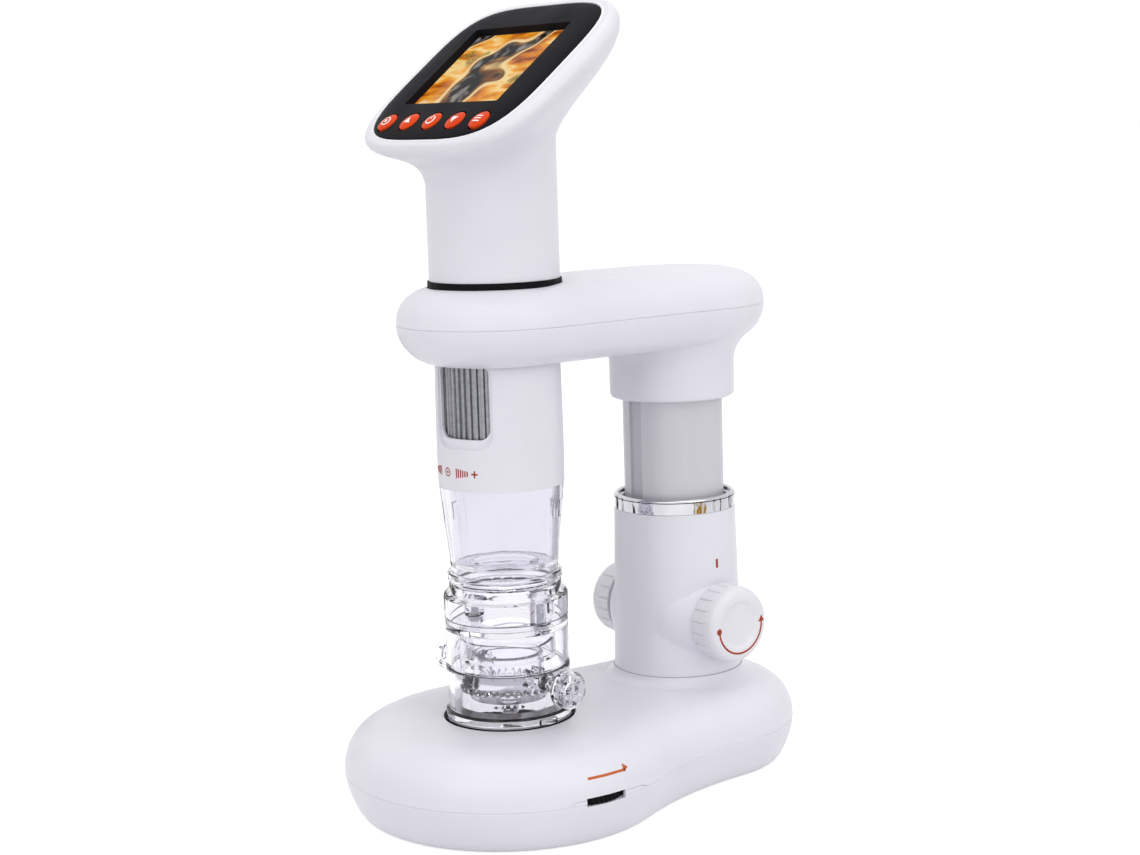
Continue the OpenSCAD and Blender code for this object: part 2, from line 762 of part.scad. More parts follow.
module arm_lower_shell() {
    turns = [90, 80, 70, 58, 46, 34, 22, 11, 0];
    boss_r = tube_r + 2.6;
    color("white") difference() {
        union() {
            skin(concat(
                round_rings(arm_arcs, arm_seam_z - 0.6, arm_bottom_z, arm_low_round, arm_low_power, turns),
                [lift(lobe_outline(arm_arcs, 0), arm_seam_z - 0.2)],
                [lift(lobe_outline(arm_arcs, 0.2), arm_seam_z)]
            ));
            at_pillar() rotate_extrude($fn = 96) polygon(concat(
                [
                    [0, arm_bottom_z + 2], [0, socket_z], [socket_r - 1.2, socket_z],
                    [socket_r - 0.4, socket_z + 0.4], [socket_r, socket_z + 1.2]
                ],
                [for (t = [0 : 0.125 : 1])
                    [socket_r + 5.4 * pow(t, 1.9), arm_bottom_z - 6 + 9.2 * pow(t, 0.9)]],
                [[socket_r + 4.6, arm_bottom_z + 4.2], [socket_r, arm_bottom_z + 4.2]]
            ));
        }
        at_hand(arm_bottom_z - over) cylinder(r = ring_step_r, h = arm_lower_h + 2 * over);
        at_pillar(socket_z - over)
            cylinder(r = tube_r + 0.02, h = arm_seam_z - boss_top_gap - socket_z + over);
        difference() {
            translate([0, 0, arm_bottom_z + 3.5]) linear_extrude(arm_lower_h)
                polygon(lobe_outline(arm_arcs, 5.5));
            at_hand(arm_bottom_z) cylinder(r = seat_ring_r + arm_wall, h = 2 * arm_lower_h);
            at_pillar(arm_bottom_z) cylinder(r = boss_r, h = 2 * arm_lower_h);
            for (p = arm_screw_places) translate([p[0], p[1], arm_bottom_z])
                cylinder(r = 3.6, h = 2 * arm_lower_h);
        }
        for (p = arm_screw_places) translate([p[0], p[1], arm_bottom_z - over]) {
            cylinder(r = 2.2, h = arm_lower_h - 3 + over);
            cylinder(r = 1.2, h = arm_lower_h + 2 * over);
        }
    }
}

module screw(head_r, head_h, shank_r, length) {
    cylinder(r = head_r, h = head_h);
    translate([0, 0, head_h]) cylinder(r = shank_r, h = length);
}

module arm_screws() {
    color("silver") for (p = arm_screw_places)
        translate([p[0], p[1], arm_seam_z - 3 - 1.3]) screw(2, 1.3, 0.95, 7);
}

module seat_ring() {
    color("#1b1b1d") at_hand(arm_seam_z) tube(seat_ring_r, ring_bore_r, arm_upper_h + seat_ring_show);
}

// Lowest point of the sliding tube at rest, and the slot that lets it pass the axle
tube_foot_z = knob_z - column_travel - 5;
tube_top_z = arm_seam_z - boss_top_gap;
slot_top_z = knob_z + axle_r + 2.4;

module inner_tube() {
    slot_half = axle_r + 1.2;
    color("#c5c4ca") at_pillar() difference() {
        translate([0, 0, tube_foot_z]) tube(tube_r, tube_r - tube_wall, tube_top_z - tube_foot_z);
        translate([-key_w / 2, -tube_r - over, tube_foot_z - over])
            cube([key_w, key_depth + over, tube_top_z - tube_foot_z + 2 * over]);
        translate([-tube_r - over, -slot_half, tube_foot_z - over])
            cube([2 * tube_r + 2 * over, 2 * slot_half, slot_top_z - slot_half - tube_foot_z + over]);
        translate([-tube_r - over, 0, slot_top_z - slot_half]) rotate([0, 90, 0])
            cylinder(r = slot_half, h = 2 * tube_r + 2 * over);
    }
}

rack_pitch = 2 * PI * pinion_r / pinion_teeth;
tooth_out = 0.7;
tooth_in = 0.95;
rack_half_w = 3;

// Rack down the back of the tube: its teeth point forward, to the pinion on the pillar's axis
module focus_rack() {
    below = floor((column_travel + 3) / rack_pitch);
    back_y = sqrt(pow(tube_r - tube_wall, 2) - rack_half_w * rack_half_w) - 0.02;
    low_z = -(below + 1) * rack_pitch;
    high_z = 2 * rack_pitch;
    root_w = 0.85;
    tip_w = 0.33;
    teeth = [for (i = [-below - 1 : 1])
        let (at = (i + 0.5) * rack_pitch)
        each [
            [pinion_r + tooth_in, at - root_w], [pinion_r - tooth_out, at - tip_w],
            [pinion_r - tooth_out, at + tip_w], [pinion_r + tooth_in, at + root_w]
        ]];
    color("#d9d9dc") at_pillar(knob_z) rotate([90, 0, 90]) translate([0, 0, -rack_half_w])
        linear_extrude(2 * rack_half_w) polygon(concat(
            [[back_y, low_z], [pinion_r + tooth_in, low_z]], teeth,
            [[pinion_r + tooth_in, high_z], [back_y, high_z]]
        ));
}

// ---------------------------------------------------------------- height drive

pinion_w = 7;

module knob_axle() {
    flat_end = knob_reach - 4.2;
    color("silver") at_pillar(knob_z) rotate([0, 90, 0])
        cylinder(r = axle_r, h = 2 * flat_end, center = true);
}

module drive_pinion() {
    color("#d9d9dc") at_pillar(knob_z) rotate([90, 0, 90]) difference() {
        translate([0, 0, -pinion_w / 2]) linear_extrude(pinion_w) polygon(
            gear_outline(pinion_teeth, pinion_r - tooth_in, pinion_r + tooth_out, 0.8, 0.36, 0)
        );
        cylinder(r = axle_r, h = 2 * pinion_w, center = true);
    }
}

// Knob on the axle, turned towards +Z here: grooved skirt, rounded shoulder and dished face
module height_knob() {
    edge = 2.5;
    skirt_end = knob_reach - edge;
    dish_r = 6.9;
    groove = 0.45;
    turns = [0 : 15 : 90];
    color("white") {
        difference() {
            union() {
                translate([0, 0, knob_back]) linear_extrude(skirt_end - 0.6 - knob_back)
                    polygon(gear_outline(knob_grooves, knob_r - groove, knob_r, 1.52, 1.4, 0));
                rotate_extrude($fn = 96) polygon(concat(
                    [
                        [0, knob_back + 2.6], [knob_r - groove - 0.2, knob_back + 2.6],
                        [knob_r - 0.15, skirt_end - 0.6]
                    ],
                    [for (t = turns) [knob_r - edge - 0.15 + edge * cos(t), skirt_end + edge * sin(t)]],
                    [[dish_r + 0.5, knob_reach], [dish_r - 1.2, knob_reach - 0.9], [0, knob_reach - 1.05]]
                ));
            }
            translate([0, 0, knob_back - over]) tube(knob_r - 1.9, axle_r + 2.2, 3.6);
            translate([0, 0, knob_back - over])
                cylinder(r = axle_r, h = knob_reach - 4.2 - knob_back + over);
        }
    }
}

module right_knob() { at_pillar(knob_z) rotate([0, 90, 0]) height_knob(); }

module left_knob() { at_pillar(knob_z) rotate([0, -90, 0]) height_knob(); }

// ---------------------------------------------------------------- column

// Bosses that carry the axle's bushes run out of the column towards the knobs
bush_r = axle_r + 1.5;
boss_root = 8;
boss_end = knob_back - 0.4;
boss_end_r = knob_r - 0.8;
boss_flare = 6.1;
column_screw_r = (column_foot_r + column_bore_r) / 2 - 0.1;
column_screw_turns = [35, 145, 270];

module outer_column() {
    color("white") at_pillar() difference() {
        union() {
            translate([0, 0, column_foot_z])
                cylinder(r1 = column_foot_r, r2 = column_top_r, h = column_h, $fn = 96);
            for (side = [-1, 1]) translate([0, 0, knob_z]) rotate([0, side * 90, 0])
                rotate_extrude($fn = 96) polygon(concat(
                    [[0, boss_root]],
                    [for (t = [0, 0.2, 0.38, 0.56, 0.72, 0.84, 0.93, 1]) [
                        boss_end_r + boss_flare * (1 - pow(t, 1.5)),
                        boss_root + (boss_end - boss_root) * t
                    ]],
                    [[0, boss_end]]
                ));
        }
        translate([0, 0, column_foot_z - over]) cylinder(r = column_bore_r, h = column_h + 2 * over);
        translate([0, 0, knob_z]) rotate([0, 90, 0]) cylinder(r = bush_r, h = 60, center = true);
        for (turn = column_screw_turns) rotate([0, 0, turn])
            translate([column_screw_r, 0, column_foot_z - over]) cylinder(r = 0.8, h = 6 + over);
    }
}

// How far the chrome ring's bright top stands above the bush inside it
ring_lip = 1.6;

module chrome_ring() {
    lip_r = column_top_r - 1.4;
    color("#e8e8ec") at_pillar(column_top_z) rotate_extrude($fn = 96) polygon([
        [column_bore_r, 0], [column_top_r, 0], [column_top_r, ring_h - 0.5], [column_top_r - 0.5, ring_h],
        [lip_r + 0.3, ring_h], [lip_r, ring_h - 0.3],
        [lip_r, ring_h - ring_lip], [column_bore_r, ring_h - ring_lip]
    ]);
}

module guide_bush(z, h) {
    color("#3a3a3e") at_pillar(z) union() {
        tube(column_bore_r - 0.02, tube_r + run_gap, h);
        translate([-key_w / 2 + 0.2, -tube_r - 0.3, 0]) cube([key_w - 0.4, key_depth - 0.2, h]);
    }
}

module guide_bushes() {
    guide_bush(column_foot_z + 0.1, lower_bush_h);
    guide_bush(column_top_z - upper_bush_h, upper_bush_h + ring_h - ring_lip);
}

module axle_bushes() {
    start = column_bore_r + 0.6;
    color("#3a3a3e") for (side = [-1, 1]) at_pillar(knob_z) rotate([0, side * 90, 0])
        translate([0, 0, start]) tube(bush_r - 0.02, axle_r + run_gap, boss_end - start);
}

module column_screws() {
    under_pad = base_top_z - base_wall;
    color("silver") for (turn = column_screw_turns)
        at_pillar() rotate([0, 0, turn]) translate([column_screw_r, 0, under_pad - 1.2])
            screw(1.7, 1.2, 0.75, column_foot_z + 5 - under_pad);
}

// ---------------------------------------------------------------- base

base_arcs = lobe_arcs(front_lobe_r, rear_lobe_r, waist_r, 17, 7, 13);
boss_places = [[-24, hand_y - 25], [24, hand_y - 25], [-17.5, pillar_y + 17], [17.5, pillar_y + 17]];
boss_r = 3.1;
boss_seam_z = base_seam_z + 1.5;
dial_x = front_lobe_r - dial_r - 0.1;
dial_y = hand_y - 3;
dial_z = base_seam_z + 0.6;
tab_top_z = base_seam_z + 1.2;
upper_power = 2.2;
lower_power = 1.45;

// The seam steps up round the thumbwheel's slot, further along on the pillar's side
module seam_tab(gap) {
    front = -slot_w / 2 - 2.4 - gap;
    rear = slot_w / 2 + 6 + gap;
    ramp = 4;
    translate([dial_x, dial_y, 0]) rotate([90, 0, 90]) linear_extrude(2 * dial_r) polygon([
        [front - ramp, base_seam_z - 0.3], [front, tab_top_z + gap],
        [rear, tab_top_z + gap], [rear + ramp, base_seam_z - 0.3]
    ]);
}

module base_upper_skin() {
    turns = [0, 11, 22, 33, 44, 55, 66, 78, 90];
    skin(concat(
        [lift(lobe_outline(base_arcs, 0.2), base_seam_z)],
        round_rings(base_arcs, base_seam_z + 0.2, base_top_z, base_round_w, upper_power, turns)
    ));
}

module thumb_slot() {
    translate([dial_x, dial_y - slot_w / 2, dial_z - slot_h / 2]) cube([dial_r * 2, slot_w, slot_h]);
    translate([dial_x, dial_y, dial_z - slot_h / 2]) cylinder(r = dial_r + 0.8, h = slot_h);
}

module base_upper_shell() {
    pad_flare = 6;
    color("white") difference() {
        union() {
            base_upper_skin();
            at_pillar() rotate_extrude($fn = 96) polygon(concat(
                [[0, base_top_z - 3], [0, column_foot_z], [column_foot_r + 0.4, column_foot_z]],
                [for (t = [0.08, 0.2, 0.35, 0.5, 0.65, 0.8, 1]) [
                    column_foot_r + 0.4 + pad_flare * pow(t, 1.5),
                    column_foot_z - (pad_rise + 1) * pow(t, 0.6)
                ]],
                [[column_foot_r, base_top_z - 3]]
            ));
        }
        difference() {
            union() {
                translate([0, 0, base_seam_z - over]) linear_extrude(5.4 + over)
                    polygon(lobe_outline(base_arcs, 4.5));
                translate([0, 0, base_seam_z]) linear_extrude(base_top_z - base_wall - base_seam_z)
                    polygon(lobe_outline(base_arcs, 9.5));
            }
            for (p = boss_places) translate([p[0], p[1], boss_seam_z]) cylinder(r = boss_r, h = base_top_z);
            at_hand(stage_floor_z) cylinder(r = stage_ring_r + 2, h = base_top_z);
        }
        for (p = boss_places) translate([p[0], p[1], boss_seam_z - over]) cylinder(r = 0.9, h = 6 + over);
        at_hand(stage_floor_z - over) cylinder(r = stage_hole_r - 0.8, h = base_top_z);
        at_hand(diffuser_z) cylinder(r = stage_hole_r, h = base_top_z);
        at_hand(ring_floor_z) tube(stage_ring_r + 0.1, stage_ring_r - stage_ring_w - 0.1, base_top_z);
        at_pillar(base_seam_z) cylinder(r = column_bore_r, h = base_top_z);
        for (turn = column_screw_turns) at_pillar(base_seam_z) rotate([0, 0, turn])
            translate([column_screw_r, 0, 0]) cylinder(r = 0.95, h = base_top_z);
        seam_tab(0.1);
        thumb_slot();
    }
}

// The stage ring stands in a groove, and the diffuser lies on a ledge inside it
diffuser_t = 1;
ring_floor_z = base_top_z - 1.4;
diffuser_z = base_top_z - 0.2 - diffuser_t;
stage_floor_z = diffuser_z - 1.4;

module base_lower_shell() {
    turns = [90, 76, 62, 48, 34, 20, 8, 0];
    floor_z = foot_gap + base_floor;
    color("white") difference() {
        union() {
            skin(concat(
                round_rings(base_arcs, base_seam_z - 0.2, foot_gap, base_tuck, lower_power, turns),
                [lift(lobe_outline(base_arcs, 0.2), base_seam_z)]
            ));
            intersection() {
                base_upper_skin();
                seam_tab(0);
            }
        }
        difference() {
            union() {
                translate([0, 0, floor_z]) linear_extrude(base_seam_z)
                    polygon(lobe_outline(base_arcs, base_tuck + 2.2));
                translate([0, 0, floor_z + 3.2]) linear_extrude(base_seam_z)
                    polygon(lobe_outline(base_arcs, 3.4));
            }
            for (p = boss_places) translate([p[0], p[1], 0]) cylinder(r = boss_r + 0.8, h = boss_seam_z);
            translate([dial_x - 4, dial_y - 4, 0]) cube([8, 8, control_z]);
        }
        for (p = boss_places) translate([p[0], p[1], 0]) {
            cylinder(r = foot_r + 0.1, h = foot_gap + 0.8);
            cylinder(r = 2.2, h = screw_seat_z);
            cylinder(r = 1.2, h = boss_seam_z + over);
        }
        translate([-door_w / 2 - 0.15, door_y - door_d / 2 - 0.15, 0])
            cube([door_w + 0.3, door_d + 0.3, floor_z + over]);
        thumb_slot();
    }
    color("white") {
        for (y = [-1, 1]) translate([-8, door_y + y * (door_d / 2 + 1.15) - 1, floor_z - 0.2])
            cube([16, 2, 1.2]);
        for (turn = [90, 210, 330]) at_hand(floor_z - 0.2) rotate([0, 0, turn])
            translate([post_ring_r, 0, 0]) cylinder(r = 2, h = stage_board_z - floor_z + 0.2);
    }
}

screw_seat_z = 8.6;

module base_screws() {
    color("silver") for (p = boss_places) translate([p[0], p[1], screw_seat_z - 1.4])
        screw(2, 1.4, 0.85, 9.6);
}

module rubber_feet() {
    color("#2b2b2e") for (p = boss_places)
        translate([p[0], p[1], 0]) cylinder(r = foot_r, h = foot_gap + 0.7);
}

cell_count = 3;
aaa_r = 5.25;
aaa_len = 44.5;
aaa_pitch = 2 * aaa_r + 0.4;
door_t = 1.6;
door_w = aaa_len + 6;
door_d = cell_count * aaa_pitch + 1;
door_y = hand_y + axis_gap / 2 - 2.2;

// Removable cover under the cells, with a finger notch and two tongues
module battery_door() {
    color("white") difference() {
        union() {
            translate([-door_w / 2, door_y - door_d / 2, foot_gap]) cube([door_w, door_d, door_t]);
            for (x = [-1, 1]) translate([x * 12 - 3, door_y + door_d / 2 - over, foot_gap + door_t - 0.9])
                cube([6, over + 0.1, 0.9]);
        }
        translate([0, door_y - door_d / 2 + 3.4, 0]) round_plate(14, 3, 1.2, foot_gap + 0.7);
    }
}

module base_batteries() {
    color("goldenrod") for (i = [0 : cell_count - 1])
        translate([0, door_y + (i - (cell_count - 1) / 2) * aaa_pitch, foot_gap + door_t + 0.1 + aaa_r])
            rotate([0, 90, 0]) {
                cylinder(r = aaa_r, h = aaa_len - 0.9, center = true);
                cylinder(r = 1.9, h = aaa_len / 2);
            }
}

post_ring_r = 9;
stage_board_z = stage_floor_z - 4;

module stage_ring() {
    color("#1b1b1d") at_hand(ring_floor_z)
        tube(stage_ring_r, stage_ring_r - stage_ring_w, stage_z - ring_floor_z);
}

module light_diffuser() {
    color("#f4f4f0", 0.8) at_hand(diffuser_z) cylinder(r = stage_hole_r - 0.1, h = diffuser_t);
}

module stage_light_board() {
    color("darkgreen") at_hand(stage_board_z) cylinder(r = 12, h = 1.2);
}

module stage_leds() {
    color("khaki") for (i = [0 : 5]) at_hand(stage_board_z + 1.2) rotate([0, 0, 60 * i])
        translate([6 - 1.4, -1.7, 0]) cube([2.8, 3.4, 0.8]);
}

control_z = 6.2;
control_top_z = dial_z - dial_h / 2 - 0.4;
pot_shaft_r = 1.5;

module dimmer_control() {
    color("#303034") translate([dial_x, dial_y, 0]) {
        translate([-4.5, -4.5, control_z]) cube([9, 9, control_top_z - control_z]);
        translate([0, 0, control_top_z]) cylinder(r = pot_shaft_r, h = dial_h + 1.4);
    }
}

module dimmer_wheel() {
    color("#1b1b1d") translate([dial_x, dial_y, dial_z - dial_h / 2]) difference() {
        linear_extrude(dial_h) polygon(gear_outline(44, dial_r - 0.45, dial_r, 0.42, 0.3, 0));
        translate([0, 0, -over]) cylinder(r = pot_shaft_r + run_gap, h = dial_h + 2 * over);
    }
}

// ---------------------------------------------------------------- specimen chamber

shaft_z = stage_z + shaft_rise;
shaft_r = 1.5;
shaft_boss_r = 2.2;
cell_bore_r = cell_r - cell_wall;
neck_bore_r = cell_neck_r - cell_wall;
crown_mid_r = crown_teeth * cell_pinion_r / cell_pinion_teeth;
crown_face = 2.4;
crown_out_r = crown_mid_r + crown_face / 2;
cell_tooth_out = 0.55;
cell_tooth_in = 0.8;
hub_r = 2;

module chamber_base() {
    color("#e8eef4", 0.4) difference() {
        union() {
            at_hand(stage_z) rotate_extrude($fn = 96) polygon([
                [hub_r + 5, 0.4], [neck_bore_r - 0.4, 0], [flange_r - 0.3, 0], [flange_r, 0.4],
                [flange_r, 1.8], [flange_r - 0.3, 2.1], [cell_neck_r, 2.4],
                [cell_neck_r, 9.8], [cell_r - 0.2, 11.6], [cell_r, 12.2], [cell_r, cell_base_h],
                [cell_bore_r, cell_base_h], [neck_bore_r, cell_base_h - 3.4], [neck_bore_r, 2],
                [0, 2], [0, 0.4]
            ]);
            at_hand(stage_z) cylinder(r = hub_r, h = 5.6);
            for (side = [-1, 1]) at_hand(shaft_z) rotate([0, side * 90, 0])
                translate([0, 0, neck_bore_r + 0.4]) cylinder(r = shaft_boss_r, h = 4.6);
            for (side = [-1, 1]) at_hand(stage_z) translate([side * (flange_r - 0.2) - 0.9, -2.7, 0])
                cube([1.8, 5.4, 1.5]);
        }
        at_hand(shaft_z) rotate([0, 90, 0]) cylinder(r = shaft_r + run_gap, h = 60, center = true);
    }
}

shelf_h = 1.5;
shelf_z = cap_seam_z - 3.2;
boss_turn = 16.6;
cap_boss_at = 11.4;

module chamber_body() {
    shelf_hole_r = 7.6;
    color("#e8eef4", 0.4) difference() {
        at_hand(cell_seam_z) rotate_extrude($fn = 96) polygon([
            [cell_bore_r, 0], [cell_r, 0], [cell_r, 0.5], [cell_r - 0.25, 0.9], [cell_r - 0.1, 1.4],
            [cell_r - 0.1, cell_body_h - 1.4], [cell_r - 0.25, cell_body_h - 0.9],
            [cell_r - 0.25, cell_body_h], [cell_bore_r, cell_body_h],
            [cell_bore_r, shelf_z + shelf_h - cell_seam_z],
            [shelf_hole_r, shelf_z + shelf_h - cell_seam_z], [shelf_hole_r, shelf_z - cell_seam_z],
            [cell_bore_r, shelf_z - cell_seam_z]
        ]);
        for (turn = [0, 180]) at_hand(shelf_z - over) rotate([0, 0, boss_turn + turn])
            translate([cap_boss_at, 0, 0]) cylinder(r = 1.15, h = shelf_h + 2 * over);
    }
}

module chamber_cap() {
    step = 7.2;
    view_r = 12.4;
    lug_turn = 54;
    color("#e8eef4", 0.4) difference() {
        union() {
            at_hand(cap_seam_z) rotate_extrude($fn = 96) polygon([
                [cell_bore_r, 0], [cell_r, 0], [cell_r, step - 1], [cell_r - 0.5, step],
                [collar_r - 0.3, step + 1.4], [collar_r - 0.3, cap_h - 2.2], [collar_r, cap_h - 1.9],
                [collar_r, cap_h - 0.3], [collar_r - 0.3, cap_h], [tip_end_r + 0.35, cap_h],
                [tip_end_r + 0.35, tip_seat_z - cap_seam_z], [view_r, tip_seat_z - cap_seam_z],
                [view_r, tip_seat_z - cap_seam_z - 1.2], [collar_r - 1.7, tip_seat_z - cap_seam_z - 2],
                [collar_r - 1.7, step - 0.6], [cell_bore_r, step - 1.8]
            ]);
            for (turn = [0, 180]) at_hand(collar_top_z - 2.6) rotate([0, 0, lug_turn + turn])
                translate([-1.8, collar_r - 0.5, 0]) cube([3.6, 1.1, 2]);
            for (turn = [0, 180]) at_hand(shelf_z + shelf_h) rotate([0, 0, boss_turn + turn]) {
                translate([cap_boss_at, 0, 0])
                    cylinder(r = 2.8, h = cap_seam_z + step + 0.4 - shelf_z - shelf_h);
                translate([cap_boss_at, -0.7, 3.6]) cube([4, 1.4, 3.4]);
            }
        }
        for (turn = [0, 180]) at_hand(shelf_z) rotate([0, 0, boss_turn + turn])
            translate([cap_boss_at, 0, 0]) cylinder(r = 1.05, h = 7.6);
    }
}

module chamber_screws() {
    color("silver") for (turn = [0, 180]) at_hand(shelf_z - 1.2) rotate([0, 0, boss_turn + turn])
        translate([cap_boss_at, 0, 0]) screw(1.9, 1.2, 1, 7);
}

// Turntable: crown gear at the rim below, and a cup above the pinions with a wavy ramp edge
module turntable() {
    disc_z = 3.1;
    crown_root = shaft_rise - cell_pinion_r - cell_tooth_in;
    crown_tip = shaft_rise - cell_pinion_r + cell_tooth_out;
    cup_r = 9.7;
    tray_z = shaft_rise + cell_pinion_r + 1.6;
    tray_r = 13.3;
    wall_top = tray_z + 5.4;
    color("#e8eef4", 0.5) at_hand(stage_z) difference() {
        union() {
            translate([0, 0, disc_z]) rotate_extrude($fn = 96) polygon([
                [hub_r + run_gap, 0], [crown_out_r, 0], [crown_out_r, crown_root - disc_z],
                [cup_r, crown_root - disc_z], [cup_r, tray_z - disc_z], [tray_r, tray_z - disc_z],
                [tray_r, wall_top - disc_z], [tray_r - 1.1, wall_top - disc_z],
                [tray_r - 1.1, tray_z + 1.1 - disc_z],
                [cup_r - 1.1, tray_z + 1.1 - disc_z], [cup_r - 1.1, 1.4], [hub_r + 1.4, 1.4],
                [hub_r + 1.4, 3], [hub_r + run_gap, 3]
            ]);
            for (i = [0 : crown_teeth - 1]) rotate([0, 0, (i + 0.5) * 360 / crown_teeth])
                translate([crown_mid_r, 0, 0]) rotate([90, 0, 90]) translate([0, 0, -crown_face / 2])
                    linear_extrude(crown_face - 0.05) polygon([
                        [-0.62, crown_root - 0.1], [0.62, crown_root - 0.1],
                        [0.24, crown_tip], [-0.24, crown_tip]
                    ]);
        }
        for (side = [0, 180]) rotate([0, 0, side]) translate([0, 0, wall_top]) rotate([9, 0, 0])
            translate([-tray_r - over, 0, -1.2]) cube([2 * tray_r + 2 * over, tray_r + 5, 6]);
    }
}

// Clear knob with its shaft and pinion, turned towards +Z here
module chamber_knob() {
    disc_t = 3.4;
    rim = 0.9;
    pinion_x = crown_mid_r - crown_face / 2 + 0.1;
    color("#e8eef4", 0.5) {
        translate([0, 0, pinion_x]) linear_extrude(crown_face - 0.2) polygon(gear_outline(
            cell_pinion_teeth, cell_pinion_r - cell_tooth_in, cell_pinion_r + cell_tooth_out,
            0.52, 0.24, 0
        ));
        translate([0, 0, pinion_x + 0.5]) cylinder(r = shaft_r, h = cell_knob_reach - 1 - pinion_x - 0.5);
        translate([0, 0, cell_knob_reach - disc_t]) difference() {
            rotate_extrude() polygon([
                [0, 0], [cell_knob_r - 0.5, 0], [cell_knob_r, 0.5], [cell_knob_r, disc_t - 0.5],
                [cell_knob_r - 0.5, disc_t], [0, disc_t]
            ]);
            translate([0, 0, 1.2]) tube(cell_knob_r - rim, shaft_r + 0.6, disc_t);
        }
        for (turn = [0 : 60 : 300]) rotate([0, 0, turn])
            translate([shaft_r, -0.35, cell_knob_reach - disc_t + 0.8])
                cube([cell_knob_r - rim - shaft_r + 0.2, 0.7, 1.8]);
    }
}

module right_chamber_knob() { at_hand(shaft_z) rotate([0, 90, 0]) chamber_knob(); }

module left_chamber_knob() { at_hand(shaft_z) rotate([0, -90, 0]) chamber_knob(); }

upper_housing();
screen_bezel();
lcd_panel();
main_board();
board_screws();
button_switches();
charging_port();
card_slot();
battery_cell();
button_select();
button_up();
button_power();
button_down();
button_menu();
lower_housing();
focus_drum();
focus_barrel();
lens_carrier();
camera_board();
objective_lens();
ring_light_board();
ring_light_leds();
clear_tip();
arm_upper_shell();
arm_lower_shell();
arm_screws();
seat_ring();
inner_tube();
focus_rack();
knob_axle();
drive_pinion();
right_knob();
left_knob();
outer_column();
chrome_ring();
guide_bushes();
axle_bushes();
column_screws();
base_upper_shell();
base_lower_shell();
base_screws();
rubber_feet();
battery_door();
base_batteries();
stage_ring();
light_diffuser();
stage_light_board();
stage_leds();
dimmer_wheel();
dimmer_control();
chamber_base();
chamber_body();
chamber_cap();
chamber_screws();
turntable();
right_chamber_knob();
left_chamber_knob();
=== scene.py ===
# %% [markdown]
# # A digital microscope on a pillar stand
# This lesson dresses a finished CAD model for a product picture. The CAD model gives every piece
# its real size and place, in metres, with Z up. The lesson adds what the eye looks for: soft edges,
# the prints, the lit screen, and surfaces that behave like the real plastics, metals and rubber.
#
# The first cell loads the CAD pieces. They stay where they are, and all that is added is placed by
# their corners, so nothing has to be fitted by eye.

# %% Load the CAD pieces
import json
import math

import bpy
from mathutils import Matrix, Vector

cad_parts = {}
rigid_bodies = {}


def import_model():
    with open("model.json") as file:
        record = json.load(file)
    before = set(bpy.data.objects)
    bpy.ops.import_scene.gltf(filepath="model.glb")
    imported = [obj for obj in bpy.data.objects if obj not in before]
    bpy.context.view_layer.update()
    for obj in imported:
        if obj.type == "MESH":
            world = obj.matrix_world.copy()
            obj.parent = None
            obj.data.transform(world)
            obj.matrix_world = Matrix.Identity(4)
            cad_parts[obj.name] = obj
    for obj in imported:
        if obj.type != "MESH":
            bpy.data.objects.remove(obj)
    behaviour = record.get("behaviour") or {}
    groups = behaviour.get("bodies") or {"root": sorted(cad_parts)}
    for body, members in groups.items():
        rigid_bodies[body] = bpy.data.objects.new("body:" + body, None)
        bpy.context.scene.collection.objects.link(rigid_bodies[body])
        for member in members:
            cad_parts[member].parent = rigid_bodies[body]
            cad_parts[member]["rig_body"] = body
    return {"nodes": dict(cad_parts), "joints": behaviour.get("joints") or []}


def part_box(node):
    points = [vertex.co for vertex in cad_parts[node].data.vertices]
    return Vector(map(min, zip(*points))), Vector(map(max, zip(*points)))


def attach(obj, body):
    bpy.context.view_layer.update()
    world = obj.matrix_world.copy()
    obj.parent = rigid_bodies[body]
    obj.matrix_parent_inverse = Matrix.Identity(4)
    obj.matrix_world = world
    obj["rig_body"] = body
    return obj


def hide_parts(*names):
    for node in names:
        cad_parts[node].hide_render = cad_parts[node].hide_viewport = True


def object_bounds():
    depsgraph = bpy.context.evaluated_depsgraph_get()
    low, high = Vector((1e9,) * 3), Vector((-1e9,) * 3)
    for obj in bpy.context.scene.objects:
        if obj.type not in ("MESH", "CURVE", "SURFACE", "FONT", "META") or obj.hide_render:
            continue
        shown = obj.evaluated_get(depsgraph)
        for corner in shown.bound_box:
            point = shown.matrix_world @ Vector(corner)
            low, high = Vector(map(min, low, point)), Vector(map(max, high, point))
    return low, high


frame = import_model()
cad_low, cad_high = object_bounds()
nodes = frame["nodes"]
MM = 0.001
print("pieces:", len(nodes), "size in mm:", [round(x / MM, 1) for x in cad_high - cad_low])

# %% [markdown]
# ## The camera
# A camera is a place, a direction and a lens. This one stands to the right of the screen's owner,
# a little above the middle of the object, and looks slightly down. It is tipped by less than two
# degrees, as on a hand-set tripod. The three directions of its frame are worked out from those
# angles and put into its matrix.

# %% Camera
CAMERA_PLACE = Vector((440.05, -345.4, 187.33)) * MM
CAMERA_TURN = math.radians(51.92)
CAMERA_DIP = math.radians(8.64)
CAMERA_TIP = math.radians(-1.71)
LENS_MM = 64.05


def camera_matrix(place, turn, dip, tip):
    """Turn goes round the object from its front, dip goes down, tip is about the line of sight."""
    forward = Vector((
        -math.sin(turn) * math.cos(dip),
        math.cos(turn) * math.cos(dip),
        -math.sin(dip),
    ))
    level = Vector((math.cos(turn), math.sin(turn), 0))
    upright = level.cross(forward)
    right = math.cos(tip) * level + math.sin(tip) * upright
    up = math.cos(tip) * upright - math.sin(tip) * level
    return Matrix.Translation(place) @ Matrix((right, up, -forward)).transposed().to_4x4()


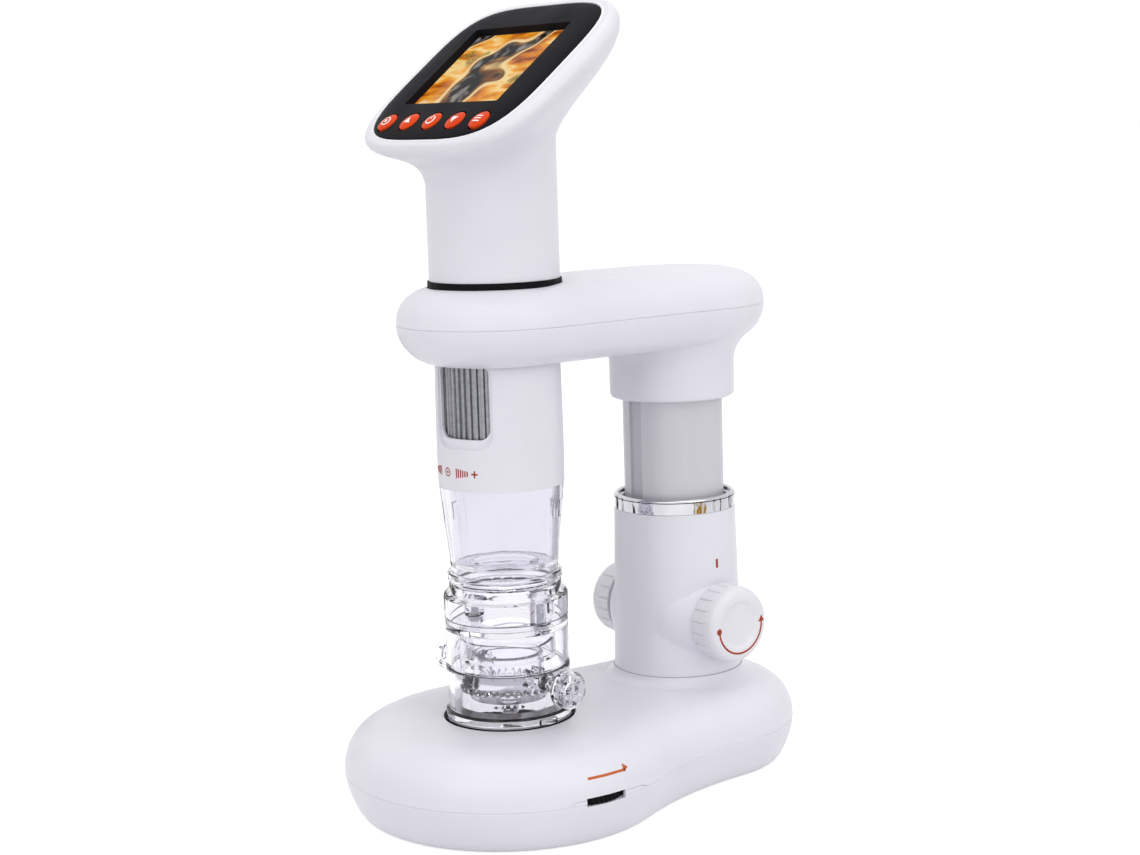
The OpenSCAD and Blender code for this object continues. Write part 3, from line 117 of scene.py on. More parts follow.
bpy.ops.object.camera_add()
camera = bpy.context.object
camera.name = "product_camera"
camera.matrix_world = camera_matrix(CAMERA_PLACE, CAMERA_TURN, CAMERA_DIP, CAMERA_TIP)
camera.data.lens = LENS_MM
camera.data.sensor_fit = "HORIZONTAL"
camera.data.clip_start = 0.01
bpy.context.scene.camera = camera
camera_reach = (CAMERA_PLACE - (cad_low + cad_high) / 2).length
print("camera stands", round(camera_reach, 3), "m from the middle")

# %% [markdown]
# ## Places that the later cells share
# The handheld stands on one upright axis and the pillar on another. Round pieces give both: the
# middle of the seat ring's box is on the first, and the middle of the chrome ring's box on the
# second. The screen leans back. The buttons press straight into it, so their joint's axis is the
# screen's depth direction, and the middle of the display panel lies on it too.

# %% Shared places
PANEL_SETBACK = 2.3 * MM
SIDEWAYS = Vector((1, 0, 0))


def middle(node):
    low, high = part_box(node)
    return (low + high) / 2


def joint_axis(name):
    return next(Vector(j["axis"]) for j in frame["joints"] if j["name"] == name).normalized()


hand_axis = middle("seat_ring")
pillar_axis = middle("chrome_ring")
screen_out = -joint_axis("power_press")
screen_up = screen_out.cross(SIDEWAYS)
PANEL_SIZE = Vector((47.1, 35.8, 2.4)) * MM
screen_middle = middle("lcd_panel") + screen_out * (PANEL_SETBACK + PANEL_SIZE.z / 2)
screen_frame = Matrix.Translation(screen_middle) @ Matrix(
    (SIDEWAYS, screen_up, screen_out)
).transposed().to_4x4()
screen_lean = math.atan2(screen_up.z, screen_up.y)
print("screen leans", round(math.degrees(screen_lean), 1), "degrees, its middle is at",
      [round(x / MM, 1) for x in screen_middle])

# %% [markdown]
# ## Small tools for modelling
# An operator works on whatever is selected, and loading leaves every CAD piece selected. So each
# step first takes one piece in hand: all else is deselected and the piece is made active. Inside a
# piece, faces and vertices are chosen by their place.

# %% Tools for modelling
TRUE_ANGLE = math.radians(0.25)


def take(piece):
    """Makes one object the only selected one, and the active one."""
    if bpy.context.mode != "OBJECT":
        bpy.ops.object.mode_set(mode="OBJECT")
    bpy.ops.object.select_all(action="DESELECT")
    piece.select_set(True)
    bpy.context.view_layer.objects.active = piece
    return piece


def choose(piece, parts, wanted):
    """Goes into edit mode with only the wanted vertices or polygons selected."""
    take(piece)
    bpy.ops.object.mode_set(mode="EDIT")
    bpy.ops.mesh.select_all(action="DESELECT")
    bpy.ops.object.mode_set(mode="OBJECT")
    for part in getattr(piece.data, parts):
        part.select = wanted(part)
    bpy.ops.object.mode_set(mode="EDIT")


def use_modifier(piece, kind, **settings):
    """Adds a modifier with its settings and applies it at once."""
    take(piece)
    modifier = piece.modifiers.new(kind.lower(), kind)
    for field, value in settings.items():
        setattr(modifier, field, value)
    bpy.ops.object.modifier_apply(modifier=modifier.name)


def settle(piece, place=Matrix()):
    """Puts the piece at a place and moves that place into its mesh."""
    take(piece)
    piece.matrix_world = place @ piece.matrix_world
    bpy.ops.object.transform_apply(location=True, rotation=True, scale=True)
    return piece


def merged_copy(node):
    """A copy of a CAD piece whose loose triangles are joined into whole faces again."""
    piece = bpy.data.objects.new(node + "_body", nodes[node].data.copy())
    bpy.context.scene.collection.objects.link(piece)
    take(piece)
    bpy.ops.mesh.customdata_custom_splitnormals_clear()
    bpy.ops.object.mode_set(mode="EDIT")
    bpy.ops.mesh.select_all(action="SELECT")
    bpy.ops.mesh.remove_doubles(threshold=0.001 * MM)
    bpy.ops.mesh.dissolve_limited(angle_limit=TRUE_ANGLE)
    bpy.ops.object.mode_set(mode="OBJECT")
    return piece


def round_edges(piece, edge_mm, sharp_from=35, steps=2):
    """Rounds the sharp edges a little and shades the faces between them as smooth ones."""
    use_modifier(
        piece, "BEVEL", width=edge_mm * MM, segments=steps, limit_method="ANGLE",
        angle_limit=math.radians(sharp_from), use_clamp_overlap=True, miter_outer="MITER_ARC",
    )
    bpy.ops.object.shade_smooth_by_angle(angle=math.radians(sharp_from + 15))
    use_modifier(piece, "WEIGHTED_NORMAL", weight=90, keep_sharp=True)


print("tools are ready")

# %% [markdown]
# ## Small tools for materials
# Colours are written as the hex values that a paint program shows. Shaders mix light and need
# linear values, so one function turns the first into the second. One more adds a node: its fields,
# its numbers and its links in one call, and a colour ramp's hex colours. Every pattern reads Object
# coordinates. All objects sit at the origin, so these are metres on the real object, and a pattern
# of `size` millimetres is a texture with a scale of 1000 / size. Noise is mostly middling, so its
# middle is spread out.

# %% Tools for materials
NOISE_LOW = 0.3
NOISE_HIGH = 0.7


def linear(hex_colour):
    """Turns an sRGB hex colour into the linear one that shaders use."""
    channels = [int(hex_colour[i:i + 2], 16) / 255 for i in (1, 3, 5)]
    return [c / 12.92 if c <= 0.04045 else ((c + 0.055) / 1.055) ** 2.4 for c in channels] + [1]


def add_node(tree, kind, fields, sockets, colours=()):
    """Adds a node, sets its fields, and sets its inputs or links them where an output is given."""
    node = tree.nodes.new(kind)
    for field, value in fields.items():
        setattr(node, field, value)
    for name, value in sockets.items():
        if isinstance(value, bpy.types.NodeSocket):
            tree.links.new(value, node.inputs[name])
        else:
            node.inputs[name].default_value = value
    for i, colour in enumerate(colours):
        if i > 1:
            node.color_ramp.elements.new(1)
        node.color_ramp.elements[i].position = i / (len(colours) - 1)
        node.color_ramp.elements[i].color = linear(colour)
    return node


def new_material(name, **sockets):
    """Starts a material, and gives its node tree, its shader and the place on the object too."""
    material = bpy.data.materials.new(name)
    material.use_nodes = True
    tree = material.node_tree
    shader = tree.nodes["Principled BSDF"]
    for socket, value in sockets.items():
        shader.inputs[socket.replace("_", " ")].default_value = value
    place = add_node(tree, "ShaderNodeTexCoord", {}, {}).outputs["Object"]
    return material, tree, shader, place


def patches(tree, place, size, low, high, detail=2):
    """Soft patches of a real size in mm, as numbers between low and high."""
    noise = add_node(tree, "ShaderNodeTexNoise", {}, {
        "Vector": place, "Scale": 1000 / size, "Detail": detail,
    })
    spread = add_node(tree, "ShaderNodeMapRange", {}, {
        "Value": noise.outputs["Fac"], "From Min": NOISE_LOW, "From Max": NOISE_HIGH,
        "To Min": low, "To Max": high,
    })
    return spread.outputs["Result"]


def mottle(tree, place, size, colours, detail=2):
    """A colour that drifts between hex colours, over patches of a real size in mm."""
    drift = patches(tree, place, size, 0, 1, detail)
    return add_node(tree, "ShaderNodeValToRGB", {}, {"Fac": drift}, colours).outputs["Color"]


def finish_with(tree, shader, colour, roughness, height=None, depth=0.0):
    """Joins a colour, a roughness and a relief of a real depth in mm to the shader."""
    tree.links.new(colour, shader.inputs["Base Color"])
    tree.links.new(roughness, shader.inputs["Roughness"])
    if height is not None:
        bump = add_node(tree, "ShaderNodeBump", {}, {"Height": height, "Distance": depth * MM})
        tree.links.new(bump.outputs["Normal"], shader.inputs["Normal"])


print("a grey of #808080 is", round(linear("#808080")[0], 3), "in linear light")

# %% [markdown]
# ## Moulded plastic
# The shells are injection-moulded ABS in a cool white. The mould is finely spark-eroded, so the
# surface is satin: highlights are wide and soft, and close up there is a fine grain. A flat white
# would look like paper. The colour drifts a little over the moulding, as real pigment does, and
# the gloss drifts where hands and packing have rubbed it. The real grain is about 0.1 mm, and it is
# drawn four times as coarse so that it shows. The charcoal, black and orange pieces share the
# recipe. The last number is how strongly they mirror the room. It is low for dark plastic, which
# at a flat angle mirrors a white room far more than it shows its own colour.

# %% Moulded ABS
PIGMENT_DRIFT = 24
GLOSS_DRIFT = 9
GRAIN_DEPTH = 0.004


def moulded_abs(name, colours, gloss_low, gloss_high, grain, mirror=0.5):
    material, tree, shader, place = new_material(name, IOR=1.54, Specular_IOR_Level=mirror)
    finish_with(
        tree, shader, mottle(tree, place, PIGMENT_DRIFT, colours),
        patches(tree, place, GLOSS_DRIFT, gloss_low, gloss_high),
        patches(tree, place, grain, 0, 1, 1), GRAIN_DEPTH,
    )
    return material


white_abs = moulded_abs("moulded_white_abs", ("#ECEAF2", "#E8E6EF"), 0.32, 0.40, 0.45)
grip_abs = moulded_abs("moulded_white_grip_abs", ("#EBE9F0", "#E6E4EC"), 0.36, 0.44, 0.4)
knob_abs = moulded_abs("moulded_white_knob_abs", ("#EEEDF2", "#E9E7EE"), 0.28, 0.36, 0.5)
bezel_abs = moulded_abs("moulded_charcoal_abs", ("#1E1E22", "#1A1A1E"), 0.34, 0.44, 0.35, 0.015)
black_abs = moulded_abs("moulded_black_abs", ("#1B1B1E", "#151517"), 0.38, 0.50, 0.35, 0.1)
button_abs = moulded_abs("moulded_orange_abs", ("#E84A18", "#DC4212"), 0.26, 0.36, 0.4, 0.06)
# A whiter white than the shells, used as painted highlight on the bezel's lip and the tube groove's
# edges.
highlight_white_abs = moulded_abs("polished_white_abs", ("#FAF9FC", "#F6F5F9"), 0.18, 0.26, 0.5)
plastics = (white_abs, grip_abs, knob_abs, bezel_abs, black_abs, button_abs, highlight_white_abs)
print("moulded plastics:", [m.name for m in plastics])

# %% [markdown]
# ## Clear acrylic
# The tip and the specimen chamber are moulded in clear acrylic and polished. Each wall is a real
# solid with two surfaces, so Cycles bends the light as the real wall does. The colour is a touch
# below white: one wall stays clear, and where many surfaces lie behind each other the eye sees the
# grey lines that give the clear parts their drawing. The tip is a single thick wall with a faint
# lilac tint, the chamber's thin walls are clearer. So many walls of true acrylic would turn black
# where light is caught between them for longer than a render follows it. A lower IOR lets it out.
# The turntable has the most walls behind each other, so its IOR is the lowest.

# %% Clear acrylic and glass
def clear_acrylic(name, colours, bend):
    material, tree, shader, place = new_material(name, IOR=bend, Transmission_Weight=1.0)
    finish_with(
        tree, shader, mottle(tree, place, 12, colours),
        patches(tree, place, 3, 0.0, 0.05), patches(tree, place, 5, 0, 1, 1), 0.02,
    )
    return material


def coated_glass():
    material, tree, shader, place = new_material(
        "coated_lens_glass", IOR=1.52, Transmission_Weight=1.0, Thin_Film_Thickness=140.0,
    )
    finish_with(
        tree, shader, mottle(tree, place, 6, ("#EEF3FA", "#E6ECF8")),
        patches(tree, place, 1.5, 0.0, 0.02),
    )
    return material


def opal_acrylic():
    material, tree, shader, place = new_material(
        "opal_acrylic", IOR=1.49, Transmission_Weight=0.25, Subsurface_Weight=0.3,
        Subsurface_Scale=0.002,
    )
    finish_with(
        tree, shader, mottle(tree, place, 7, ("#F4F3EF", "#EEEDE9")),
        patches(tree, place, 2, 0.45, 0.6),
    )
    return material


tip_acrylic = clear_acrylic("tinted_clear_acrylic", ("#EFEEF4", "#EAE9F0"), 1.46)
chamber_acrylic = clear_acrylic("polished_clear_acrylic", ("#FAF9FC", "#F6F5F9"), 1.36)
gear_acrylic = clear_acrylic("moulded_gear_acrylic", ("#FCFCFE", "#F8F8FB"), 1.24)
lens_glass = coated_glass()
opal = opal_acrylic()
clear_finishes = (tip_acrylic, chamber_acrylic, gear_acrylic, lens_glass, opal)
print("clear materials:", [m.name for m in clear_finishes])

# %% [markdown]
# ## Metals
# The chrome ring is plated plastic. Plating copies every ripple of the moulding below it, so its
# reflections wobble. The screws are zinc-plated steel with a faint bluish tint, the sockets are
# stamped sheet. The focus drum is plastic under silver paint. A metal keeps its default IOR.

# %% Metals
def plated_metal(name, colours, gloss_low, gloss_high, ripple, depth):
    material, tree, shader, place = new_material(name, Metallic=1.0)
    finish_with(
        tree, shader, mottle(tree, place, ripple * 2, colours),
        patches(tree, place, ripple, gloss_low, gloss_high),
        patches(tree, place, ripple, 0, 1, 1), depth,
    )
    return material


chrome = plated_metal("chrome_plated_abs", ("#D8D8DC", "#BEBEC5"), 0.02, 0.06, 4.5, 0.06)
zinc_steel = plated_metal("zinc_plated_steel", ("#C9CCD1", "#B4B8BF"), 0.25, 0.4, 0.8, 0.01)
tin_steel = plated_metal("stamped_tin_plated_steel", ("#CDCDCB", "#BDBDBB"), 0.22, 0.34, 1.2, 0.01)
silver_paint = plated_metal("silver_painted_abs", ("#A3A3A9", "#8D8D94"), 0.30, 0.42, 0.5, 0.006)
print("metals:", [m.name for m in (chrome, zinc_steel, tin_steel, silver_paint)])

# %% [markdown]
# ## The sliding tube
# The inner tube slides in two bushes, so it is turned smooth and then anodised grey. Its last cut
# runs along it, and leaves hairlines that are long upwards and very thin across. A noise that is
# stretched along Z draws them half a millimetre wide, coarse enough to show. The key groove's floor
# is duller, and its darker grey is painted shade.

# %% Satin anodised tube
HAIRLINE = 0.5
HAIRLINE_STRETCH = (1, 1, 0.02)


def anodised_tube(name, colours, gloss_low, gloss_high):
    material, tree, shader, place = new_material(name, Metallic=0.1, IOR=1.5)
    drawn = add_node(tree, "ShaderNodeMapping", {}, {
        "Vector": place, "Scale": HAIRLINE_STRETCH,
    })
    along = drawn.outputs["Vector"]
    finish_with(
        tree, shader, mottle(tree, along, HAIRLINE, colours, 3),
        patches(tree, place, 7, gloss_low, gloss_high),
        patches(tree, along, HAIRLINE, 0, 1, 3), 0.001,
    )
    return material


tube_grey = anodised_tube("satin_anodised_tube", ("#D3D2D8", "#D1D0D6"), 0.34, 0.42)
# The groove floor's darker grey is painted shade.
groove_shade_grey = anodised_tube("milled_tube_groove", ("#C4C3CC", "#BFBEC8"), 0.45, 0.55)
print("tube:", tube_grey.name, "and its key groove:", groove_shade_grey.name)

# %% [markdown]
# ## Rubber, acetal and wrapped cells
# Rubber is dark, dull and slightly pitted. The pits are drawn a quarter of a millimetre wide, as
# coarse as they need to be to show. Acetal gears are milky, because light travels a short way into
# them. The cells wear a heat-shrunk sleeve, which is glossy and pulled into fine creases.

# %% Rubber, acetal and shrink sleeve
def moulded_rubber():
    material, tree, shader, place = new_material(
        "moulded_black_rubber", IOR=1.5, Specular_IOR_Level=0.06,
    )
    finish_with(
        tree, shader, mottle(tree, place, 5, ("#171719", "#121214")),
        patches(tree, place, 1.5, 0.45, 0.65), patches(tree, place, 0.25, 0, 1, 3), 0.02,
    )
    return material


def natural_acetal():
    material, tree, shader, place = new_material(
        "natural_acetal", IOR=1.48, Subsurface_Weight=0.2, Subsurface_Scale=0.0015,
    )
    finish_with(
        tree, shader, mottle(tree, place, 8, ("#E6E5E1", "#DDDCD8")),
        patches(tree, place, 1, 0.35, 0.5),
    )
    return material


def shrink_sleeve():
    material, tree, shader, place = new_material("shrink_sleeve", IOR=1.53)
    bands = add_node(tree, "ShaderNodeTexWave", {"bands_direction": "X"}, {
        "Vector": place, "Scale": 22, "Distortion": 0.4,
    })
    tint = add_node(
        tree, "ShaderNodeValToRGB", {}, {"Fac": bands.outputs["Fac"]},
        ("#C79A3A", "#D8B258", "#4B6E9E"),
    )
    finish_with(
        tree, shader, tint.outputs["Color"], patches(tree, place, 2, 0.18, 0.32),
        patches(tree, place, 1.4, 0, 1, 3), 0.03,
    )
    return material


rubber = moulded_rubber()
acetal = natural_acetal()
sleeve = shrink_sleeve()
print("soft and inner materials:", [m.name for m in (rubber, acetal, sleeve)])

# %% [markdown]
# ## Circuit boards and LEDs
# A board is glass fibre under green solder mask. Copper tracks below the mask make it lighter and
# slightly raised. A brick pattern with long bricks draws tracks of about 0.4 mm. An LED is a white
# package filled with yellow phosphor, whose grains show as a fine mottle.

# %% Boards and LEDs
def solder_mask():
    material, tree, shader, place = new_material("green_solder_mask", IOR=1.5, Coat_Weight=0.4)
    tracks = add_node(tree, "ShaderNodeTexBrick", {"offset": 0.37}, {
        "Vector": place, "Color1": (1, 1, 1, 1), "Color2": (0.8, 0.8, 0.8, 1),
        "Mortar": (0, 0, 0, 1), "Scale": 400, "Mortar Size": 0.06, "Brick Width": 3.2,
        "Row Height": 0.5,
    }).outputs["Color"]
    tint = add_node(
        tree, "ShaderNodeValToRGB", {}, {"Fac": tracks}, ("#0E4A2C", "#12613A", "#1A7446"),
    )
    finish_with(
        tree, shader, tint.outputs["Color"], patches(tree, place, 3, 0.25, 0.4), tracks, 0.02,
    )
    return material


def led_phosphor():
    material, tree, shader, place = new_material("led_phosphor", IOR=1.45)
    finish_with(
        tree, shader, mottle(tree, place, 0.6, ("#F3E38A", "#E8D264", "#F6EFC4"), 3),
        patches(tree, place, 0.4, 0.25, 0.5),
    )
    return material


board_green = solder_mask()
phosphor = led_phosphor()
print("electronics:", [m.name for m in (board_green, phosphor)])

# %% [markdown]
# ## Print
# The signs on the buttons and the marks on the stand are pad-printed ink. Ink lies on top of the
# plastic as a film of a few hundredths of a millimetre, and it is duller than the plastic, with
# tiny gaps where the pad did not wet it.

# %% Inks
def printed_ink(name, colours):
    material, tree, shader, place = new_material(name, IOR=1.48, Specular_IOR_Level=0.2)
    finish_with(
        tree, shader, mottle(tree, place, 0.5, colours, 3), patches(tree, place, 0.8, 0.4, 0.55),
    )
    return material


red_ink = printed_ink("brick_red_ink", ("#A8432A", "#A8432A", "#9A3B24"))
orange_ink = printed_ink("orange_ink", ("#CC6A3A", "#CC6A3A", "#C06032"))
white_ink = printed_ink("white_ink", ("#FBF8F6", "#FBF8F6", "#F0EBE8"))
# Not print: this grey is painted shadow, for the joint round the column's foot.
gap_shadow_grey = printed_ink("shadow_grey_ink", ("#A9A8B0", "#A9A8B0", "#9F9EA6"))
print("inks:", [m.name for m in (red_ink, orange_ink, white_ink, gap_shadow_grey)])

# %% [markdown]
# ## The picture on the screen
# The screen shows what the microscope sees: here a piece of amber with dark husks in it. The
# picture grows from a few textures, as a painter works from large to small. Each row of the table
# is one layer: a pattern, the two values between which it fades in, and its colour. Noise that is
# stretched along one direction makes the honey-coloured fibres, and a coarse noise lays a patch of
# olive grains over them. A distorted wave cuts dark husks out of the amber, and a pale rim is laid
# down first, so that it shows round each husk. The panel glows by itself, so the picture is emitted
# light. A Mapping node turns Object coordinates into places across and up the leaning screen. A
# wave texture multiplies places by its scale and by twenty, and repeats every full turn.

# %% Screen picture
WAVE_FACTOR = 20
FIBRE_TURN = 36
FIBRE_STRETCH = (0.3, 1, 1)
PANEL_GLOW = 0.92


def layers(tree, flat, turn, width, warp, phase, detail=3):
    """Wavy layers of a real width in mm, turned in the screen's plane."""
    turned = add_node(tree, "ShaderNodeMapping", {}, {
        "Vector": flat, "Rotation": (0, 0, math.radians(turn)),
    })
    return add_node(tree, "ShaderNodeTexWave", {"bands_direction": "Y"}, {
        "Vector": turned.outputs["Vector"], "Scale": math.tau / (WAVE_FACTOR * width * MM),
        "Distortion": warp, "Detail": detail, "Detail Scale": 2.2, "Detail Roughness": 0.55,
        "Phase Offset": phase,
    }).outputs["Fac"]


def lit_picture():
    material, tree, shader, place = new_material(
        "lit_display_picture", Emission_Strength=PANEL_GLOW, Specular_IOR_Level=0.04,
        Base_Color=linear("#0A0A0B"),
    )
    flat = add_node(tree, "ShaderNodeMapping", {"vector_type": "TEXTURE"}, {
        "Vector": place, "Location": screen_middle, "Rotation": (screen_lean, 0, 0),
    }).outputs["Vector"]
    fibre_way = add_node(tree, "ShaderNodeMapping", {}, {
        "Vector": flat, "Rotation": (0, 0, math.radians(FIBRE_TURN)), "Scale": FIBRE_STRETCH,
    }).outputs["Vector"]
    husk = layers(tree, flat, 128, 23, 6.5, 3.1, 2)
    picture = mottle(
        tree, fibre_way, 7,
        ("#4A1B04", "#A24A08", "#D9800F", "#F0A62A", "#F9DC98", "#EDA024", "#C46A0C", "#7A3406"), 3,
    )
    for pattern, low, high, colour in (
        (patches(tree, fibre_way, 0.8, 0, 1, 3), 0.5, 2.4, linear("#FFE9B0")),
        (patches(tree, flat, 12, 0, 1, 2), 0.66, 0.86, mottle(
            tree, flat, 0.8, ("#3E2F12", "#8E7026", "#C9A94E", "#6A5420"), 3)),
        (patches(tree, flat, 16, 0, 1, 1), 0.02, -0.5, linear("#8A8378")),
        (husk, 0.60, 0.80, linear("#F3D79A")),
        (husk, 0.80, 0.88, mottle(tree, fibre_way, 2.6, ("#3A1C0A", "#7A4A1C", "#B5884A"), 4)),
        (husk, 0.90, 0.97, mottle(tree, flat, 3.4, ("#0B0808", "#0B0808", "#8E8A86"), 1)),
    ):
        edge = add_node(tree, "ShaderNodeMapRange", {"interpolation_type": "SMOOTHSTEP"}, {
            "Value": pattern, "From Min": low, "From Max": high,
        })
        picture = add_node(tree, "ShaderNodeMixRGB", {}, {
            "Fac": edge.outputs["Result"], "Color1": picture, "Color2": colour,
        }).outputs["Color"]
    tree.links.new(picture, shader.inputs["Emission Color"])
    tree.links.new(patches(tree, place, 4, 0.12, 0.2), shader.inputs["Roughness"])
    return material


display_picture = lit_picture()
print("picture:", display_picture.name, "with", len(display_picture.node_tree.nodes), "nodes")

# %% [markdown]
# ## Painting the pieces
# Each row below names a finish, the record's own name for it, and the CAD pieces that have it, each
# with its edge radius in mm. Zero leaves the CAD piece as it is.

# %% Finishes
FINISHES = [
    (white_abs, "white_shell",
     {"arm_upper_shell": 0.25, "arm_lower_shell": 0.25, "base_upper_shell": 0.2,
      "base_lower_shell": 0.2, "outer_column": 0.25, "battery_door": 0.3}),
    (grip_abs, "white_shell", {"upper_housing": 0.2, "lower_housing": 0.2}),
    (knob_abs, "white_shell", {"right_knob": 0.25, "left_knob": 0.25}),
    (bezel_abs, "bezel_gloss", {"screen_bezel": 0.25}),
    (board_green, "board_green",
     {"main_board": 0, "camera_board": 0, "ring_light_board": 0, "stage_light_board": 0}),
    (zinc_steel, "screw_steel",
     {"board_screws": 0.15, "arm_screws": 0.15, "column_screws": 0.15, "base_screws": 0.15,
      "knob_axle": 0.2, "chamber_screws": 0.15}),
    (tin_steel, "port_steel", {"charging_port": 0.1, "card_slot": 0.1}),
    (black_abs, "switch_black", {"button_switches": 0.1, "dimmer_control": 0.2}),
    (sleeve, "cell_wrap", {"battery_cell": 0.6, "base_batteries": 0.5}),
    (button_abs, "button_orange",
     {"button_select": 0.35, "button_up": 0.35, "button_power": 0.35, "button_down": 0.35,
      "button_menu": 0.35}),
    (silver_paint, "drum_grey", {"focus_drum": 0.12}),
    (black_abs, "black_plastic",
     {"focus_barrel": 0.15, "lens_carrier": 0.15, "guide_bushes": 0.15, "axle_bushes": 0.15}),
    (rubber, "black_rubber",
     {"seat_ring": 0.25, "rubber_feet": 0.2, "dimmer_wheel": 0.12}),
    (lens_glass, "lens_glass", {"objective_lens": 0}),
    (phosphor, "led_yellow", {"ring_light_leds": 0.1, "stage_leds": 0.1}),
    (tip_acrylic, "clear_plastic", {"clear_tip": 0.2}),
    (chamber_acrylic, "clear_plastic",
     {"chamber_base": 0.2, "chamber_body": 0.2, "chamber_cap": 0.2,
      "right_chamber_knob": 0.15, "left_chamber_knob": 0.15}),
    (gear_acrylic, "clear_plastic", {"turntable": 0.12}),
    (tube_grey, "tube_grey", {"inner_tube": 0.2}),
    (acetal, "drive_plastic", {"focus_rack": 0.1, "drive_pinion": 0.1}),
    (chrome, "chrome", {"chrome_ring": 0.2}),
    (opal, "diffuser_white", {"light_diffuser": 0.2}),
]
print("finishes:", len(FINISHES))

# %% [markdown]
# ## Soft edges
# Nothing moulded or turned has a truly sharp edge: a radius of a few tenths of a millimetre catches
# a thin line of light, and that line is what makes an edge look real. A copy of the CAD piece gets
# the radius, rides on the same body and stands in for the piece. Flat faces keep their flat shading
# through the Weighted Normal modifier. The five button caps also get a little more air in their
# holes: they are a few percent smaller and 0.2 mm lower, along the screen's own directions.

# %% Soft edges
CAP_DROP = 0.2 * MM
CAP_SHARES = (0.95, 0.91, 0.88, 1)
CAP_TRIM = Matrix.Translation((0, 0, -CAP_DROP)) @ Matrix.Diagonal(CAP_SHARES)
dressed = {}


def paint(piece, finish):
    """Gives the whole piece one finish."""
    piece.data.materials.clear()
    piece.data.materials.append(finish)


def stand_in(piece, node):
    """The new piece moves with the CAD piece's body and is shown instead of it."""
    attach(piece, nodes[node]["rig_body"])
    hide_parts(node)
    dressed[node] = piece


def resize(piece, frame_of, centre, shape):
    """Changes a piece's size a little about a point, along the axes of a frame."""
    settle(piece, frame_of.inverted())
    settle(piece, Matrix.Translation(-(frame_of.inverted() @ centre)))
    settle(piece, shape)
    settle(piece, Matrix.Translation(frame_of.inverted() @ centre))
    settle(piece, frame_of)


for finish, slot, edges in FINISHES:
    for node, edge in edges.items():
        if edge == 0:
            paint(nodes[node], finish)
            continue
        piece = merged_copy(node)
        if finish is button_abs:
            resize(piece, screen_frame, middle(node), CAP_TRIM)
        round_edges(piece, edge)
        paint(piece, finish)
        stand_in(piece, node)
        print(node, "edges", edge, "mm,", len(piece.data.polygons), "faces")

# %% [markdown]
# ## The groove in the tube
# A key in the column runs in a groove along the front of the inner tube, so that the arm cannot
# swing round. The groove's floor is duller and painted darker as shade, and its two long edges get
# a whiter white as a painted highlight. The faces are found by their place and by the way they
# face, and they get the tube's second and third material.

# %% Key groove
KEY_HALF = 2.6 * MM
EDGE_REACH = 0.6 * MM
BORE_RADIUS = 8 * MM
SKIN = 0.3 * MM
tube = dressed["inner_tube"]
tube.data.materials.append(groove_shade_grey)
tube.data.materials.append(highlight_white_abs)
tube_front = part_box("inner_tube")[0].y
front_wall = [
    face for face in tube.data.polygons if face.center.y < pillar_axis.y - BORE_RADIUS
]
groove_shade_faces = [
    face for face in front_wall
    if face.normal.y < -0.95 and face.center.y > tube_front + SKIN
    and abs(face.center.x - pillar_axis.x) < KEY_HALF
]
groove_highlight_edges = [
    face for face in front_wall
    if 0.3 < abs(face.normal.x) < 0.95 and face.normal.y < -0.3
    and abs(face.center.x - pillar_axis.x) < KEY_HALF + EDGE_REACH
]
# The floor gets the painted shade, and the two edges get a whiter white as painted highlight.
for face in groove_shade_faces:
    face.material_index = 1
for face in groove_highlight_edges:
    face.material_index = 2
print("groove floor:", len(groove_shade_faces), "faces, its two edges:", len(groove_highlight_edges), "faces")

# %% [markdown]
# ## The display panel
# The panel is a flat metal-framed tray with the lit glass in it. It starts as a cube of the
# panel's size. The face that points out of the head is inset twice: the outer strip becomes the
# dark frame, the inner one a small step down, and what is left is the lit picture.

# %% Display panel
PANEL_FRAME = 2.2 * MM
PANEL_STEP = 0.15 * MM


def display_panel():
    bpy.ops.mesh.primitive_cube_add(size=1)
    piece = take(bpy.context.object)
    piece.name = "lcd_panel_body"
    piece.scale = PANEL_SIZE
    settle(piece)
    settle(piece, Matrix.Translation((0, 0, -PANEL_SETBACK - PANEL_SIZE.z / 2)))
    piece.data.materials.append(black_abs)
    piece.data.materials.append(display_picture)
    choose(piece, "polygons", lambda face: face.normal.z > 0.9)
    bpy.ops.mesh.inset(thickness=PANEL_FRAME)
    bpy.ops.mesh.inset(thickness=PANEL_STEP, depth=-PANEL_STEP)
    piece.active_material_index = 1
    bpy.ops.object.material_slot_assign()
    bpy.ops.object.mode_set(mode="OBJECT")
    settle(piece, screen_frame)
    use_modifier(piece, "BEVEL", width=0.08 * MM, segments=2, limit_method="ANGLE")
    return piece


panel = display_panel()
stand_in(panel, "lcd_panel")
print("panel faces:", len(panel.data.polygons))

# %% [markdown]
# ## Flat shapes for signs
# Every sign and mark is put together from three flat shapes: a bar, a ring segment and a disc,
# which with three corners is an arrowhead. A bar is a plane. A disc is a filled circle. A ring
# segment is a line across its width, spun round a centre. They are drawn flat, in millimetres, and
# cut finely enough to bend round a curved wall later.

# %% Flat shapes
def bar(x, y, wide, high, turn=0.0, cuts=6):
    """A flat bar with its middle at x, y, turned by an angle in degrees."""
    bpy.ops.mesh.primitive_plane_add(size=1)
    piece = take(bpy.context.object)
    bpy.ops.object.mode_set(mode="EDIT")
    bpy.ops.mesh.subdivide(number_cuts=cuts)
    bpy.ops.object.mode_set(mode="OBJECT")
    shape = Matrix.Diagonal((wide * MM, high * MM, 1, 1))
    spun = Matrix.Rotation(math.radians(turn), 4, "Z")
    return settle(piece, Matrix.Translation((x * MM, y * MM, 0)) @ spun @ shape)


